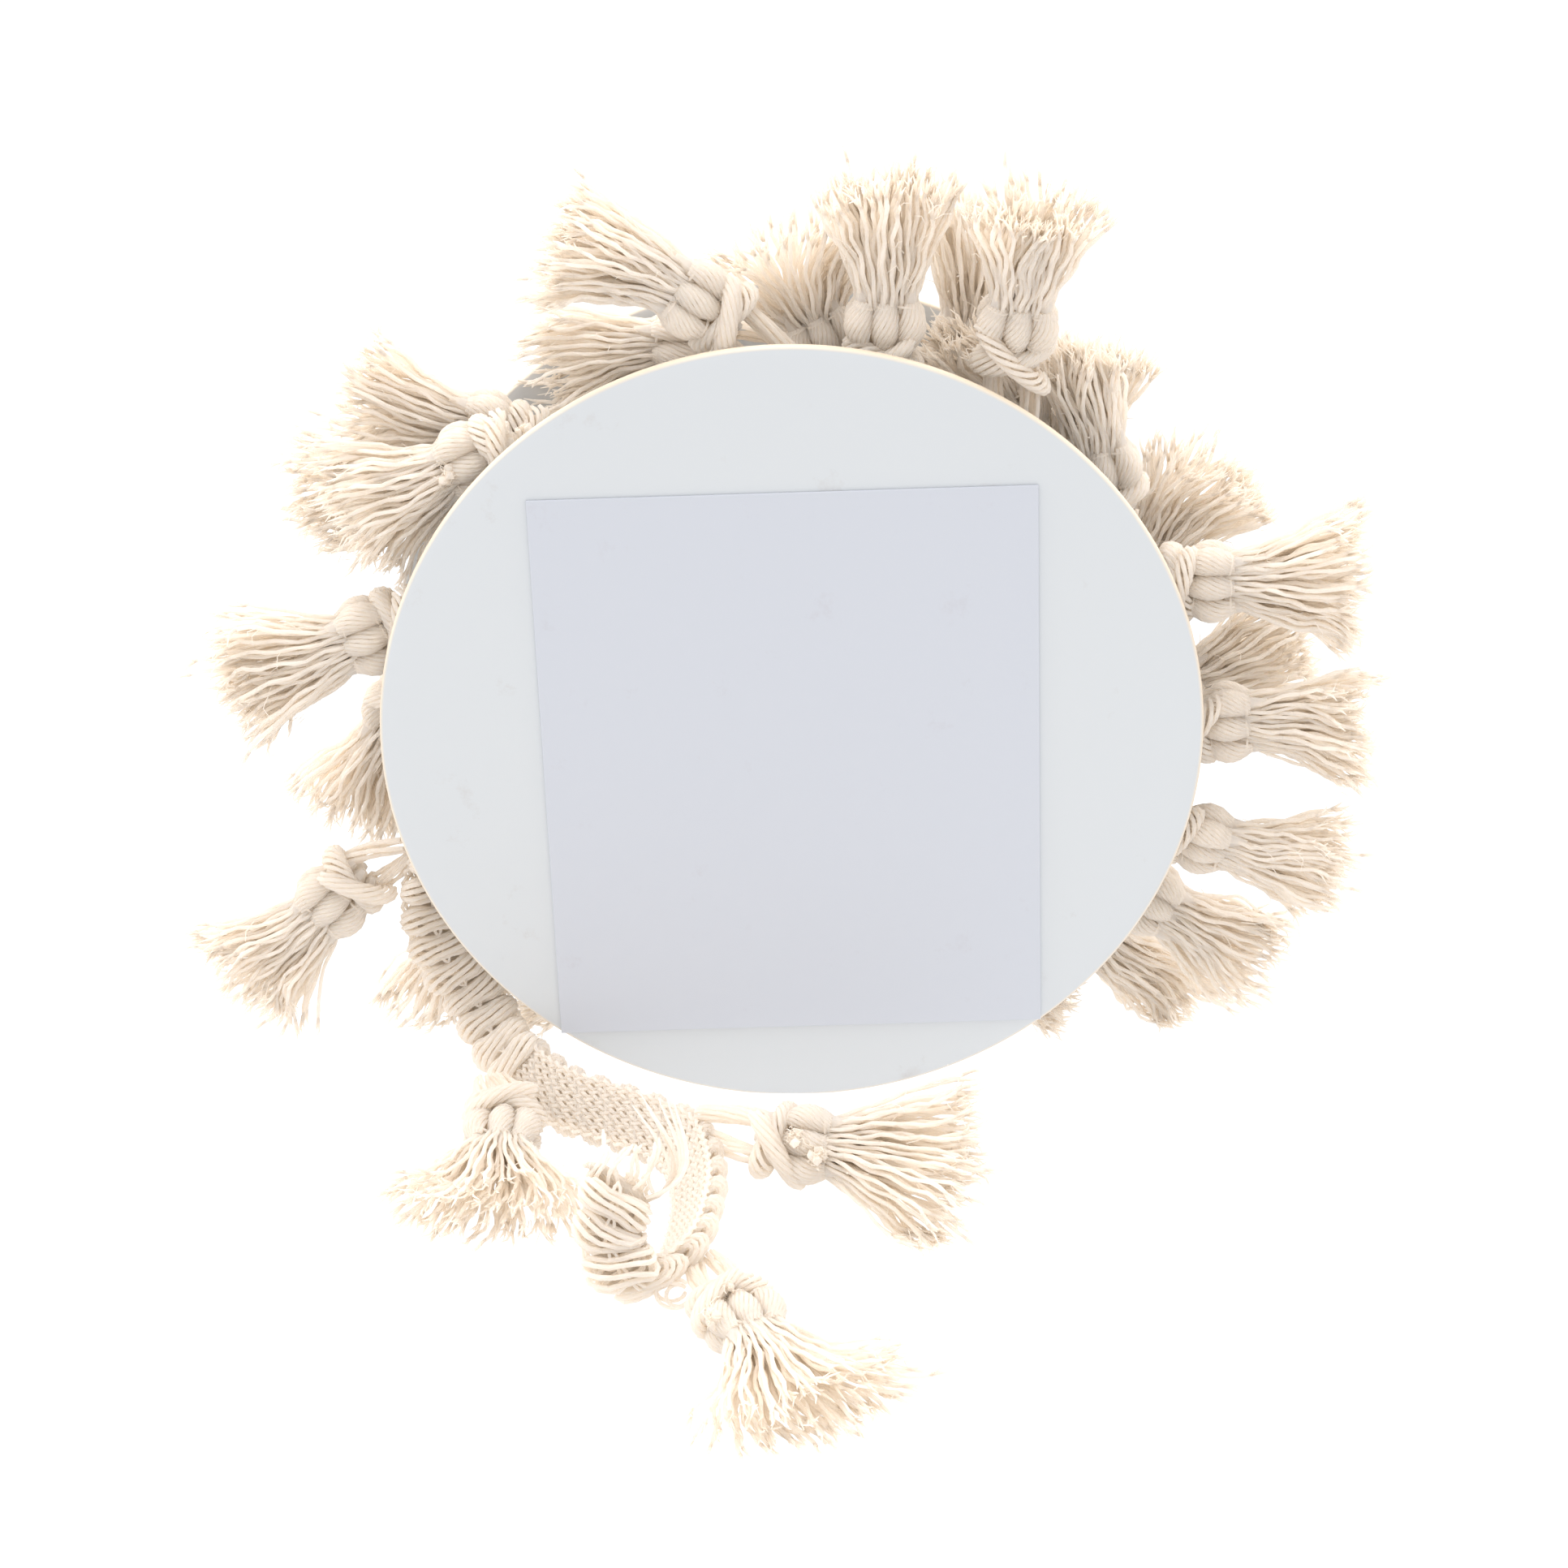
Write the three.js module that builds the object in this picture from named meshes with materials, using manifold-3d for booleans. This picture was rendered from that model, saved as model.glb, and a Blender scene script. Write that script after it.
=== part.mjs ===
// Cotton tassel fringe trim, wound on a round plastic reel, with its loose end lying in front.
// Millimetres, +Z up. The reel stands on its rims with its axle along Y, so the flange that
// carries the label faces -Y. The origin is on the surface, in the middle of that flange's small
// flat spot. Depths below are counted from the middle of the reel, and the whole is set back at the end.
import * as THREE from 'three';
import { mergeVertices } from 'three/addons/utils/BufferGeometryUtils.js';
import Module from 'manifold-3d';

const wasm = await Module();
wasm.setup();

// Reel: two thin round flanges on a solid hub
const FLANGE_RADIUS = 38.1;
const FLANGE_THICKNESS = 1.0;
const FLANGE_EDGE_ROUND = 0.3;
const CHANNEL_WIDTH = 17.5;
const HUB_RADIUS = 13;
const FLAT_SPOT_DEPTH = 0.25;
const REEL_STEPS = 72;
const AXLE_HEIGHT = FLANGE_RADIUS - FLAT_SPOT_DEPTH;
const INNER_FACE = CHANNEL_WIDTH / 2;
const OUTER_FACE = INNER_FACE + FLANGE_THICKNESS;
const FIT_GAP = 0.3;

// Label: a blank paper sticker, a little turned and below the middle
const LABEL_WIDTH = 46;
const LABEL_HEIGHT = 54.7;
const LABEL_THICKNESS = 0.25;
const LABEL_TURN_DEG = 1.9;
const LABEL_DROP = 2.95;

// Heading: the woven gimp band that carries the tassels
const HEADING_WIDTH = 7.4;
const HEADING_THICKNESS = 2.5;
const PICOT_PITCH = 3.05;
const PICOT_DEPTH = 0.45;
const RIB_HEIGHT = 0.35;

// Half section of the heading: share of its half width, share of its half thickness, and how
// much of the picots shows there
const HEADING_SECTION = [
  { across: 1.0, through: 0.4, picot: 1 },
  { across: 0.55, through: 1.0, picot: 0.3 },
  { across: 0.0, through: 0.75, picot: 0 },
  { across: -0.55, through: 1.0, picot: 0.3 },
  { across: -1.0, through: 0.4, picot: 1 },
];

// Wound roll: two bands of heading side by side, one turn of growth around
const ROLL_RADIUS = 31;
const ROLL_BAND_GAP = 0.8;
const ROLL_GROOVE_DEPTH = 1.3;
const ROLL_ROWS = 62;
const ROLL_EXIT_DEG = 178;

// Loose end of the heading, from the roll down to the surface and on to its cut end.
// x, y, z: a point of its middle line. edgeX, edgeY, edgeZ: the way to the edge with the tassels.
const LOOSE_HEADING = [
  { x: -30.1, y: -4.5, z: 38.0, edgeX: 0.0, edgeY: -1.0, edgeZ: 0.0 },
  { x: -31.6, y: -4.5, z: 31.0, edgeX: -0.1, edgeY: -1.0, edgeZ: 0.0 },
  { x: -33.6, y: -4.6, z: 25.0, edgeX: -0.5, edgeY: -0.85, edgeZ: -0.1 },
  { x: -34.6, y: -4.8, z: 19.0, edgeX: -0.85, edgeY: -0.45, edgeZ: -0.1 },
  { x: -33.5, y: -5.0, z: 13.0, edgeX: -0.93, edgeY: -0.2, edgeZ: -0.3 },
  { x: -30.4, y: -5.4, z: 8.2, edgeX: -0.88, edgeY: -0.1, edgeZ: -0.45 },
  { x: -28.0, y: -8.6, z: 5.2, edgeX: -0.7, edgeY: -0.1, edgeZ: -0.7 },
  { x: -25.2, y: -13.2, z: 4.2, edgeX: -0.45, edgeY: -0.35, edgeZ: -0.8 },
  { x: -21.6, y: -17.0, z: 3.7, edgeX: -0.3, edgeY: -0.55, edgeZ: -0.75 },
  { x: -15.4, y: -20.6, z: 3.5, edgeX: -0.35, edgeY: -0.6, edgeZ: -0.7 },
  { x: -10.6, y: -24.6, z: 3.6, edgeX: -0.6, edgeY: -0.35, edgeZ: -0.72 },
  { x: -8.8, y: -31.6, z: 3.7, edgeX: -0.66, edgeY: 0.0, edgeZ: -0.75 },
  { x: -9.0, y: -38.5, z: 3.7, edgeX: -0.66, edgeY: 0.0, edgeZ: -0.75 },
  { x: -10.4, y: -44.6, z: 3.8, edgeX: -0.7, edgeY: 0.0, edgeZ: -0.7 },
  { x: -13.6, y: -48.2, z: 4.2, edgeX: -0.9, edgeY: 0.0, edgeZ: -0.4 },
  { x: -15.8, y: -47.6, z: 7.0, edgeX: -1.0, edgeY: 0.0, edgeZ: -0.1 },
  { x: -15.4, y: -46.6, z: 10.4, edgeX: -1.0, edgeY: 0.0, edgeZ: 0.0 },
  { x: -14.9, y: -45.8, z: 13.4, edgeX: -1.0, edgeY: 0.0, edgeZ: 0.0 },
];

// Tassel, from the heading outwards
const NECK_LENGTH = 5.3;
const KNOT_LENGTH = 2.5;
const HEAD_LENGTH = 3.4;
const SKIRT_LENGTH = 11;
const LOCKS_ACROSS = 5;
const LOCK_STATIONS = [0, 0.5, 1];
const LOCK_ROOT_REACH = 0.66;
const LOCK_ROOT_RISE = 0.48;
const LOCK_ROOT_WIDTH = 0.95;
const LOCK_TIP_WIDTH = 3.0;
const LOCK_ROOT_HEIGHT = 0.85;
const LOCK_TIP_HEIGHT = 1.5;
const LAYER_SPREAD_DEG = 9;
const LENGTH_UNEVENNESS = 0.09;
const BUNDLE_POINTS = 12;
const BUNDLE_GROOVE = 0.14;
const LINE_BREAKING_NUDGE = 0.002;

// Cross-sections of neck, knot and head: part of the tassel, how far along it, half sizes
const BODY_SECTIONS = [
  { part: 'neck', along: 0.0, halfWidth: 2.7, halfThick: 0.9, lobed: 0 },
  { part: 'neck', along: 0.5, halfWidth: 2.1, halfThick: 1.0, lobed: 0 },
  { part: 'neck', along: 0.96, halfWidth: 1.9, halfThick: 1.3, lobed: 0 },
  { part: 'knot', along: 0.45, halfWidth: 3.3, halfThick: 2.2, lobed: 0.5 },
  { part: 'knot', along: 1.0, halfWidth: 2.8, halfThick: 1.7, lobed: 0.7 },
  { part: 'head', along: 0.5, halfWidth: 3.7, halfThick: 2.5, lobed: 1 },
  { part: 'head', along: 1.0, halfWidth: 3.1, halfThick: 1.9, lobed: 0.8 },
  { part: 'skirt', along: 0.1, halfWidth: 3.5, halfThick: 2.1, lobed: 0.3 },
];

// What most tassels share. depth: the root's Y. fore: tilt towards the label side, in degrees.
// lift: how far the root stands off the roll. neck, skirt: their lengths.
// turn: roll of the flat head about its axis. sag: bend of the skirt, both in degrees.
const PLAIN = { lift: 0, neck: NECK_LENGTH, turn: 0, skirt: SKIRT_LENGTH, sag: 0 };
const NEAR = { ...PLAIN, depth: -5.2, fore: 6 };
const MIDDLE = { ...PLAIN, depth: 0.3, fore: 0 };
const REAR = { ...PLAIN, depth: 5.4, fore: -3 };
const FLOOR = { ...PLAIN, depth: 4.6, fore: -3, turn: 90 };

// Tassels on the roll. Angles in degrees, counter-clockwise from +X as seen from the label side.
// at: place of the root around the roll. lead: way the neck runs. aim: way head and skirt point.
// fan: half spread of the skirt.
const RING_TASSELS = [
  {
    ...NEAR, name: 'tassel_01', at: 86, lead: 136, aim: 145, fan: 19, neck: 10.4, turn: 16, skirt: 12.4,
    sag: -20,
  },
  {
    ...REAR, name: 'tassel_02', at: 92, lead: 180, aim: 182, fan: 20, lift: 1.4, depth: 5, fore: 0,
    skirt: 10.8, sag: -18,
  },
  {
    ...MIDDLE, name: 'tassel_03', at: 73, lead: 160, aim: 140, fan: 40, lift: 0.3, neck: 4.6,
    skirt: 9.4, sag: 36, depth: 0.2,
  },
  { ...NEAR, name: 'tassel_04', at: 71, lead: 114, aim: 88, fan: 17, fore: 0, sag: -8 },
  {
    ...NEAR, name: 'tassel_05', at: 50, lead: 92, aim: 84, fan: 24, fore: 16, lift: -0.5, neck: 11.4,
    skirt: 10.6,
  },
  { ...MIDDLE, name: 'tassel_06', at: 38, lead: 120, aim: 124, fan: 18, lift: 0.6, skirt: 8, depth: 1.4 },
  {
    ...NEAR, name: 'tassel_07', at: 28, lead: 70, aim: 104, fan: 12, depth: -2, fore: 0, skirt: 9.6,
    lift: -0.3,
  },
  { ...REAR, name: 'tassel_08', at: 2, lead: 90, aim: 70, fan: 30, lift: 0.6, sag: 30 },
  { ...NEAR, name: 'tassel_09', at: 17, lead: 46, aim: 4, fan: 28, neck: 6.4, skirt: 12, lift: -0.3 },
  { ...NEAR, name: 'tassel_10', at: 356, lead: 14, aim: 6, fan: 22, sag: 14, lift: -1, neck: 6.3 },
  { ...REAR, name: 'tassel_11', at: 344, lead: 62, aim: 26, fan: 26, lift: 0.6, neck: 6 },
  { ...NEAR, name: 'tassel_12', at: 340, lead: 350, aim: 348, fan: 25, turn: 30, lift: -1.4, neck: 6.8 },
  { ...MIDDLE, name: 'tassel_13', at: 328, lead: 330, aim: 328, fan: 22, depth: -0.4, lift: -2.2, neck: 7.4 },
  { ...REAR, name: 'tassel_14', at: 314, lead: 322, aim: 322, fan: 20, lift: -1.5, neck: 6.8 },
  { ...MIDDLE, name: 'tassel_15', at: 127, lead: 180, aim: 163, fan: 24, depth: 0.9 },
  { ...NEAR, name: 'tassel_16', at: 137, lead: 113, aim: 208, fan: 30, depth: -4.9, fore: 0, neck: 6.4 },
  { ...NEAR, name: 'tassel_17', at: 166, lead: 152, aim: 201, fan: 30, skirt: 12, sag: 4 },
  { ...REAR, name: 'tassel_18', at: 176, lead: 206, aim: 245, fan: 28, lift: -0.6, neck: 5.8 },
  { ...NEAR, name: 'tassel_19', at: 201, lead: 206, aim: 226, fan: 30, lift: 9.2, neck: 3.4, sag: 14 },
  { ...REAR, name: 'tassel_20', at: 212, lead: 232, aim: 250, fan: 26, neck: 8.4, lift: -2 },
  { ...REAR, name: 'tassel_21', at: 140, lead: 170, aim: 194, fan: 27 },
  { ...REAR, name: 'tassel_22', at: 52, lead: 130, aim: 88, fan: 24, lift: 0.6, depth: 5.8 },
  { ...FLOOR, name: 'tassel_23', at: 284, lead: 330, aim: 350, fan: 26, lift: -1.4, neck: 6.6, skirt: 9 },
  { ...FLOOR, name: 'tassel_24', at: 261, lead: 206, aim: 186, fan: 24, lift: -1.3, neck: 6.5, skirt: 10.4 },
  { ...REAR, name: 'tassel_25', at: 24, lead: 118, aim: 84, fan: 20, lift: 0.8, skirt: 8 },
];

// Tassels of the loose end. x, y, z: the root. lead, aim: ways of neck and head round the surface,
// in degrees from +X. rise, pitch: how far neck and head point above level.
const TAIL_TASSELS = [
  {
    ...PLAIN, name: 'tail_tassel_1', x: -28.2, y: -16.0, z: 4.4, lead: 290, rise: 0, aim: 268, pitch: -4,
    fan: 50, neck: 4.2, skirt: 11.6,
  },
  {
    ...PLAIN, name: 'tail_tassel_2', x: -5.9, y: -26.6, z: 6.0, lead: 322, rise: 8, aim: 346, pitch: 0,
    fan: 40, neck: 4.2, turn: 56, skirt: 13.1, sag: -14,
  },
  {
    ...PLAIN, name: 'tail_tassel_3', x: -7.4, y: -45.6, z: 3.4, lead: 290, rise: 0, aim: 295, pitch: -4,
    fan: 46, neck: 4.6, skirt: 13.1,
  },
];

const MATERIALS = {
  plastic: new THREE.MeshStandardMaterial({ color: 0xe9ebee, roughness: 0.45, metalness: 0 }),
  paper: new THREE.MeshStandardMaterial({ color: 0xe4e9f2, roughness: 0.7, metalness: 0 }),
  heading: new THREE.MeshStandardMaterial({ color: 0xf0ddbd, roughness: 0.95, metalness: 0 }),
  cotton: new THREE.MeshStandardMaterial({ color: 0xf6e8d0, roughness: 0.95, metalness: 0 }),
};

const UP = new THREE.Vector3(0, 0, 1);
const AWAY = new THREE.Vector3(0, 1, 0);

const radians = (degrees) => THREE.MathUtils.degToRad(degrees);

// A repeatable uneven value from -1 to 1
function uneven(seed) {
  const wave = Math.sin(seed * 127.1 + 11.7) * 43758.5453;
  return 2 * (wave - Math.floor(wave)) - 1;
}

// A point around the axle, by radius, angle and depth
function aroundAxle(radius, degrees, depth) {
  const angle = radians(degrees);
  return new THREE.Vector3(radius * Math.cos(angle), depth, AXLE_HEIGHT + radius * Math.sin(angle));
}

// A unit vector that points round the face of the reel, tilted towards the label side
function pointing(degrees, foreDegrees) {
  const flat = Math.cos(radians(foreDegrees));
  const angle = radians(degrees);
  return new THREE.Vector3(flat * Math.cos(angle), -Math.sin(radians(foreDegrees)), flat * Math.sin(angle));
}

// A unit vector that points round the surface, tilted up from level
function levelled(degrees, riseDegrees) {
  const flat = Math.cos(radians(riseDegrees));
  const angle = radians(degrees);
  return new THREE.Vector3(flat * Math.cos(angle), flat * Math.sin(angle), Math.sin(radians(riseDegrees)));
}

// A closed skin, put together from rings of points. Rings run counter-clockwise about the way ahead.
class Skin {
  constructor() {
    this.points = [];
    this.index = [];
  }

  // Points of one ring; returns their numbers
  addRing(points) {
    const first = this.points.length;
    this.points.push(...points);
    return points.map((point, offset) => first + offset);
  }

  // Band of faces from a ring to the next one of the same count
  addSpan(ring, next) {
    ring.forEach((a, step) => {
      const beside = (step + 1) % ring.length;
      this.index.push(a, ring[beside], next[beside], a, next[beside], next[step]);
    });
  }

  // Flat end over a ring, facing back at the start of a skin and ahead at its end
  addCap(ring, facesBack) {
    for (let step = 1; step < ring.length - 1; step += 1) {
      const pair = facesBack ? [ring[step + 1], ring[step]] : [ring[step], ring[step + 1]];
      this.index.push(ring[0], ...pair);
    }
  }

  // Flat end over a ring with the roots of locks left open in it, facing ahead
  addPiercedCap(ring, roots, axes) {
    // Each point is nudged by a hair in the flat drawing, so that no three of them stand in line
    const flat = (number) =>
      new THREE.Vector2(
        this.points[number].dot(axes.wide) + LINE_BREAKING_NUDGE * uneven(number),
        this.points[number].dot(axes.thick) + LINE_BREAKING_NUDGE * uneven(number + 0.5),
      );
    const numbers = [...ring, ...roots.flat()];
    const faces = THREE.ShapeUtils.triangulateShape(
      ring.map(flat),
      roots.map((root) => root.map(flat)),
    );
    faces.forEach((face) => {
      const [a, b, c] = face.map((corner) => numbers[corner]);
      const turn = flat(b).sub(flat(a)).cross(flat(c).sub(flat(a)));
      this.index.push(a, ...(turn > 0 ? [b, c] : [c, b]));
    });
  }

  geometry() {
    const positions = this.points.flatMap((point) => [point.x, point.y, point.z]);
    const geometry = new THREE.BufferGeometry();
    geometry.setAttribute('position', new THREE.Float32BufferAttribute(positions, 3));
    geometry.setIndex(this.index);
    return geometry;
  }
}

// Manifold solid of a closed geometry
function solid(geometry) {
  const bare = geometry.clone();
  bare.deleteAttribute('normal');
  bare.deleteAttribute('uv');
  const merged = mergeVertices(bare, 1e-4);
  const mesh = new wasm.Mesh({
    numProp: 3,
    vertProperties: new Float32Array(merged.attributes.position.array),
    triVerts: new Uint32Array(merged.index.array),
  });
  mesh.merge();
  return new wasm.Manifold(mesh);
}

// Geometry of a manifold solid
function geometryOf(body) {
  const mesh = body.getMesh();
  const geometry = new THREE.BufferGeometry();
  geometry.setAttribute('position', new THREE.BufferAttribute(new Float32Array(mesh.vertProperties), 3));
  geometry.setIndex(new THREE.BufferAttribute(new Uint32Array(mesh.triVerts), 1));
  return geometry;
}

// Named piece of the part
function piece(name, geometry, material) {
  geometry.computeVertexNormals();
  const mesh = new THREE.Mesh(geometry, material);
  mesh.name = name;
  return mesh;
}

// Reel: both flanges and the hub turned as one, with a small flat spot to stand on
function makeReel() {
  const rim = FLANGE_RADIUS;
  const round = FLANGE_EDGE_ROUND;
  const nearFlange = [
    [0, -OUTER_FACE],
    [rim - round, -OUTER_FACE],
    [rim, -OUTER_FACE + round],
    [rim, -INNER_FACE - round],
    [rim - round, -INNER_FACE],
    [HUB_RADIUS, -INNER_FACE],
  ];
  const farFlange = nearFlange.map(([radius, depth]) => [radius, -depth]).reverse();
  const profile = [...nearFlange, ...farFlange].map(([radius, depth]) => new THREE.Vector2(radius, depth));
  const turned = new THREE.LatheGeometry(profile, REEL_STEPS);
  turned.translate(0, 0, AXLE_HEIGHT);
  const below = new THREE.BoxGeometry(2 * rim, 4 * OUTER_FACE, rim);
  below.translate(0, 0, -rim / 2);
  return piece('reel', geometryOf(solid(turned).subtract(solid(below))), MATERIALS.plastic);
}

// Label: blank sheet of paper on the flange that faces -Y
function makeLabel() {
  const sheet = new THREE.BoxGeometry(LABEL_WIDTH, LABEL_THICKNESS, LABEL_HEIGHT);
  const label = piece('label', sheet, MATERIALS.paper);
  label.rotation.y = radians(-LABEL_TURN_DEG);
  label.position.set(0, -OUTER_FACE - FIT_GAP - LABEL_THICKNESS / 2, AXLE_HEIGHT - LABEL_DROP);
  return label;
}

// Wound roll: two ribbed bands that grow by one thickness in a full turn
function makeRoll() {
  const half = HEADING_WIDTH + ROLL_BAND_GAP / 2;
  const rings = [];
  for (let station = 0; station < 2 * ROLL_ROWS; station += 1) {
    const share = station / (2 * ROLL_ROWS);
    const degrees = ROLL_EXIT_DEG + 360 * share;
    const grown = ROLL_RADIUS - HEADING_THICKNESS * (1 - share);
    const crown = grown + (station % 2 === 0 ? 0 : -RIB_HEIGHT);
    const edge = crown - ROLL_GROOVE_DEPTH;
    const inner = HUB_RADIUS + FIT_GAP;
    const across = [
      [inner, -half],
      [edge, -half],
      [crown, -half / 2],
      [edge, 0],
      [crown, half / 2],
      [edge, half],
      [inner, half],
    ];
    rings.push(across.map(([radius, depth]) => aroundAxle(radius, degrees, depth)));
  }
  const skin = new Skin();
  const around = rings.map((ring) => skin.addRing(ring));
  around.forEach((ring, station) => skin.addSpan(ring, around[(station + 1) % around.length]));
  return piece('wound_heading', skin.geometry(), MATERIALS.heading);
}

// Loose heading: a ribbed band that follows its table, with a picot at each second station
function makeLooseHeading() {
  const middle = new THREE.CatmullRomCurve3(LOOSE_HEADING.map(({ x, y, z }) => new THREE.Vector3(x, y, z)));
  const edges = new THREE.CatmullRomCurve3(
    LOOSE_HEADING.map(({ edgeX, edgeY, edgeZ }) => new THREE.Vector3(edgeX, edgeY, edgeZ)),
  );
  const skin = new Skin();
  const stations = 2 * Math.round(middle.getLength() / PICOT_PITCH);
  let last = null;
  for (let station = 0; station <= stations; station += 1) {
    const time = middle.getUtoTmapping(station / stations);
    const point = middle.getPoint(time);
    const ahead = middle.getTangent(time);
    const bare = edges.getPoint(time);
    const edge = bare.addScaledVector(ahead, -bare.dot(ahead)).normalize();
    const face = new THREE.Vector3().crossVectors(ahead, edge);
    const onPicot = station % 2;
    const ring = [...HEADING_SECTION, ...HEADING_SECTION.toReversed()].map((corner, number) => {
      const side = number < HEADING_SECTION.length ? 1 : -1;
      const reach = HEADING_WIDTH / 2 - PICOT_DEPTH * corner.picot * (1 - onPicot);
      const swell = HEADING_THICKNESS / 2 - (RIB_HEIGHT / 2) * (1 - onPicot);
      return point
        .clone()
        .addScaledVector(edge, reach * corner.across)
        .addScaledVector(face, side * swell * corner.through);
    });
    const numbers = skin.addRing(ring);
    if (last) {
      skin.addSpan(last, numbers);
    } else {
      skin.addCap(numbers, true);
    }
    last = numbers;
  }
  skin.addCap(last, false);
  return piece('loose_heading', skin.geometry(), MATERIALS.heading);
}

// Ring of points of a flattened round bundle, its outline drawn in between the strands
function bundleRing(centre, axes, section) {
  const ring = [];
  for (let step = 0; step < BUNDLE_POINTS; step += 1) {
    const angle = (2 * Math.PI * step) / BUNDLE_POINTS;
    const drawn = step % 2 === 0 ? 1 : 1 - BUNDLE_GROOVE * section.lobed;
    ring.push(
      centre
        .clone()
        .addScaledVector(axes.wide, section.halfWidth * drawn * Math.cos(angle))
        .addScaledVector(axes.thick, section.halfThick * drawn * Math.sin(angle)),
    );
  }
  return ring;
}

// Axes of a tassel: along it, across its flat side, and through its thickness, which is nearly
// the given way before the turn
function tasselAxes(along, through, turnDegrees) {
  const side = new THREE.Vector3().crossVectors(through, along).normalize();
  const wide = side.applyAxisAngle(along, radians(turnDegrees));
  const thick = new THREE.Vector3().crossVectors(along, wide).normalize();
  return { along, wide, thick };
}

// Rings of one lock of the skirt: a three-sided taper that bends on its way. It rests level where
// it meets the surface, the locks of the upper layer on those of the lower one.
function lockRings(root, axes, lock) {
  const point = root.clone();
  const lowest = Math.max(0, Math.sign(lock.layer) * axes.thick.z) * (LOCK_TIP_HEIGHT + FIT_GAP);
  let travelled = 0;
  return LOCK_STATIONS.map((share) => {
    const bend = lock.side * share ** 0.3 + lock.sag * share;
    const way = axes.along.clone().applyAxisAngle(axes.thick, radians(bend));
    const across = new THREE.Vector3().crossVectors(axes.thick, way).normalize();
    way.applyAxisAngle(across, radians(-lock.layer * share ** 0.3));
    const up = new THREE.Vector3().crossVectors(way, across).normalize();
    point.addScaledVector(way, lock.length * share - travelled);
    travelled = lock.length * share;
    const width = THREE.MathUtils.lerp(LOCK_ROOT_WIDTH, LOCK_TIP_WIDTH, share) / 2;
    const height = Math.sign(lock.layer) * THREE.MathUtils.lerp(LOCK_ROOT_HEIGHT, LOCK_TIP_HEIGHT, share);
    const corners = [
      [-width, -height / 3],
      [width, -height / 3],
      [0, (2 * height) / 3],
    ];
    if (height < 0) {
      corners.reverse();
    }
    const ring = corners.map(([sideways, upwards]) =>
      point.clone().addScaledVector(across, sideways).addScaledVector(up, upwards),
    );
    const sunk = Math.max(0, ...ring.map((corner) => lowest * share - corner.z));
    ring.forEach((corner) => {
      corner.z += sunk;
    });
    return ring;
  });
}

// Neck, knot and head in one skin, with the locks of the skirt growing out of its end
function makeTassel(row, root, neckWay, headWay, through) {
  const knotStart = root.clone().addScaledVector(neckWay, row.neck);
  const tieOne = knotStart.clone().addScaledVector(headWay, KNOT_LENGTH);
  const tieTwo = tieOne.clone().addScaledVector(headWay, HEAD_LENGTH);
  const starts = {
    neck: { point: root, way: neckWay, length: row.neck },
    knot: { point: knotStart, way: headWay, length: KNOT_LENGTH },
    head: { point: tieOne, way: headWay, length: HEAD_LENGTH },
    skirt: { point: tieTwo, way: headWay, length: row.skirt },
  };
  const skin = new Skin();
  let end = null;
  BODY_SECTIONS.forEach((section) => {
    const start = starts[section.part];
    const centre = start.point.clone().addScaledVector(start.way, section.along * start.length);
    const axes = tasselAxes(start.way, through, row.turn);
    const ring = skin.addRing(bundleRing(centre, axes, section));
    if (end) {
      skin.addSpan(end.ring, ring);
    } else {
      skin.addCap(ring, true);
    }
    end = { ring, centre, axes, section };
  });

  const lockRoots = [];
  for (let layer = -1; layer <= 1; layer += 2) {
    for (let lock = 0; lock < LOCKS_ACROSS; lock += 1) {
      const across = (2 * lock) / (LOCKS_ACROSS - 1) - 1;
      const reach = across * LOCK_ROOT_REACH;
      const rise = layer * LOCK_ROOT_RISE * Math.sqrt(1 - reach ** 2);
      const lockRoot = end.centre
        .clone()
        .addScaledVector(end.axes.wide, reach * end.section.halfWidth)
        .addScaledVector(end.axes.thick, rise * end.section.halfThick);
      const seed = root.x + 7 * lock + 31 * layer;
      const rings = lockRings(lockRoot, end.axes, {
        side: across * row.fan,
        layer: layer * LAYER_SPREAD_DEG,
        sag: row.sag,
        length: row.skirt * (1 + LENGTH_UNEVENNESS * uneven(seed)),
      });
      const starting = rings.map((ring) => skin.addRing(ring));
      starting.slice(1).forEach((ring, index) => skin.addSpan(starting[index], ring));
      skin.addCap(starting.at(-1), false);
      lockRoots.push(starting[0]);
    }
  }
  skin.addPiercedCap(end.ring, lockRoots, end.axes);
  return piece(row.name, skin.geometry(), MATERIALS.cotton);
}

// A tassel of the roll, from its row in the table
function makeRingTassel(row) {
  const root = aroundAxle(ROLL_RADIUS + 2 * FIT_GAP + row.lift, row.at, row.depth);
  return makeTassel(row, root, pointing(row.lead, 0), pointing(row.aim, row.fore), AWAY);
}

// A tassel of the loose end, from its row in the table
function makeTailTassel(row) {
  const root = new THREE.Vector3(row.x, row.y, row.z);
  return makeTassel(row, root, levelled(row.lead, row.rise), levelled(row.aim, row.pitch), UP);
}

const trim = new THREE.Group();
trim.position.y = OUTER_FACE - FLANGE_THICKNESS / 2;
trim.add(makeReel());
trim.add(makeLabel());
trim.add(makeRoll());
trim.add(makeLooseHeading());
RING_TASSELS.forEach((row) => trim.add(makeRingTassel(row)));
TAIL_TASSELS.forEach((row) => trim.add(makeTailTassel(row)));

export default trim;
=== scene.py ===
"""Looks of a cotton tassel fringe trim wound on a round plastic reel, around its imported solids.

The yarns are real strands: each tassel has a neck of yarn, a rope-like knot, a lobed head between
two ties and a skirt of cut yarn with frayed ends. The heading is a gimp band: a bundle of yarn wound
across a ground, with a picot at each edge. Lengths are in millimetres until a mesh is made.
"""

import bisect
import logging
import math
import random
from dataclasses import dataclass, field
from enum import Enum

import bmesh
import bpy
from mathutils import Matrix, Vector, noise


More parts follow.
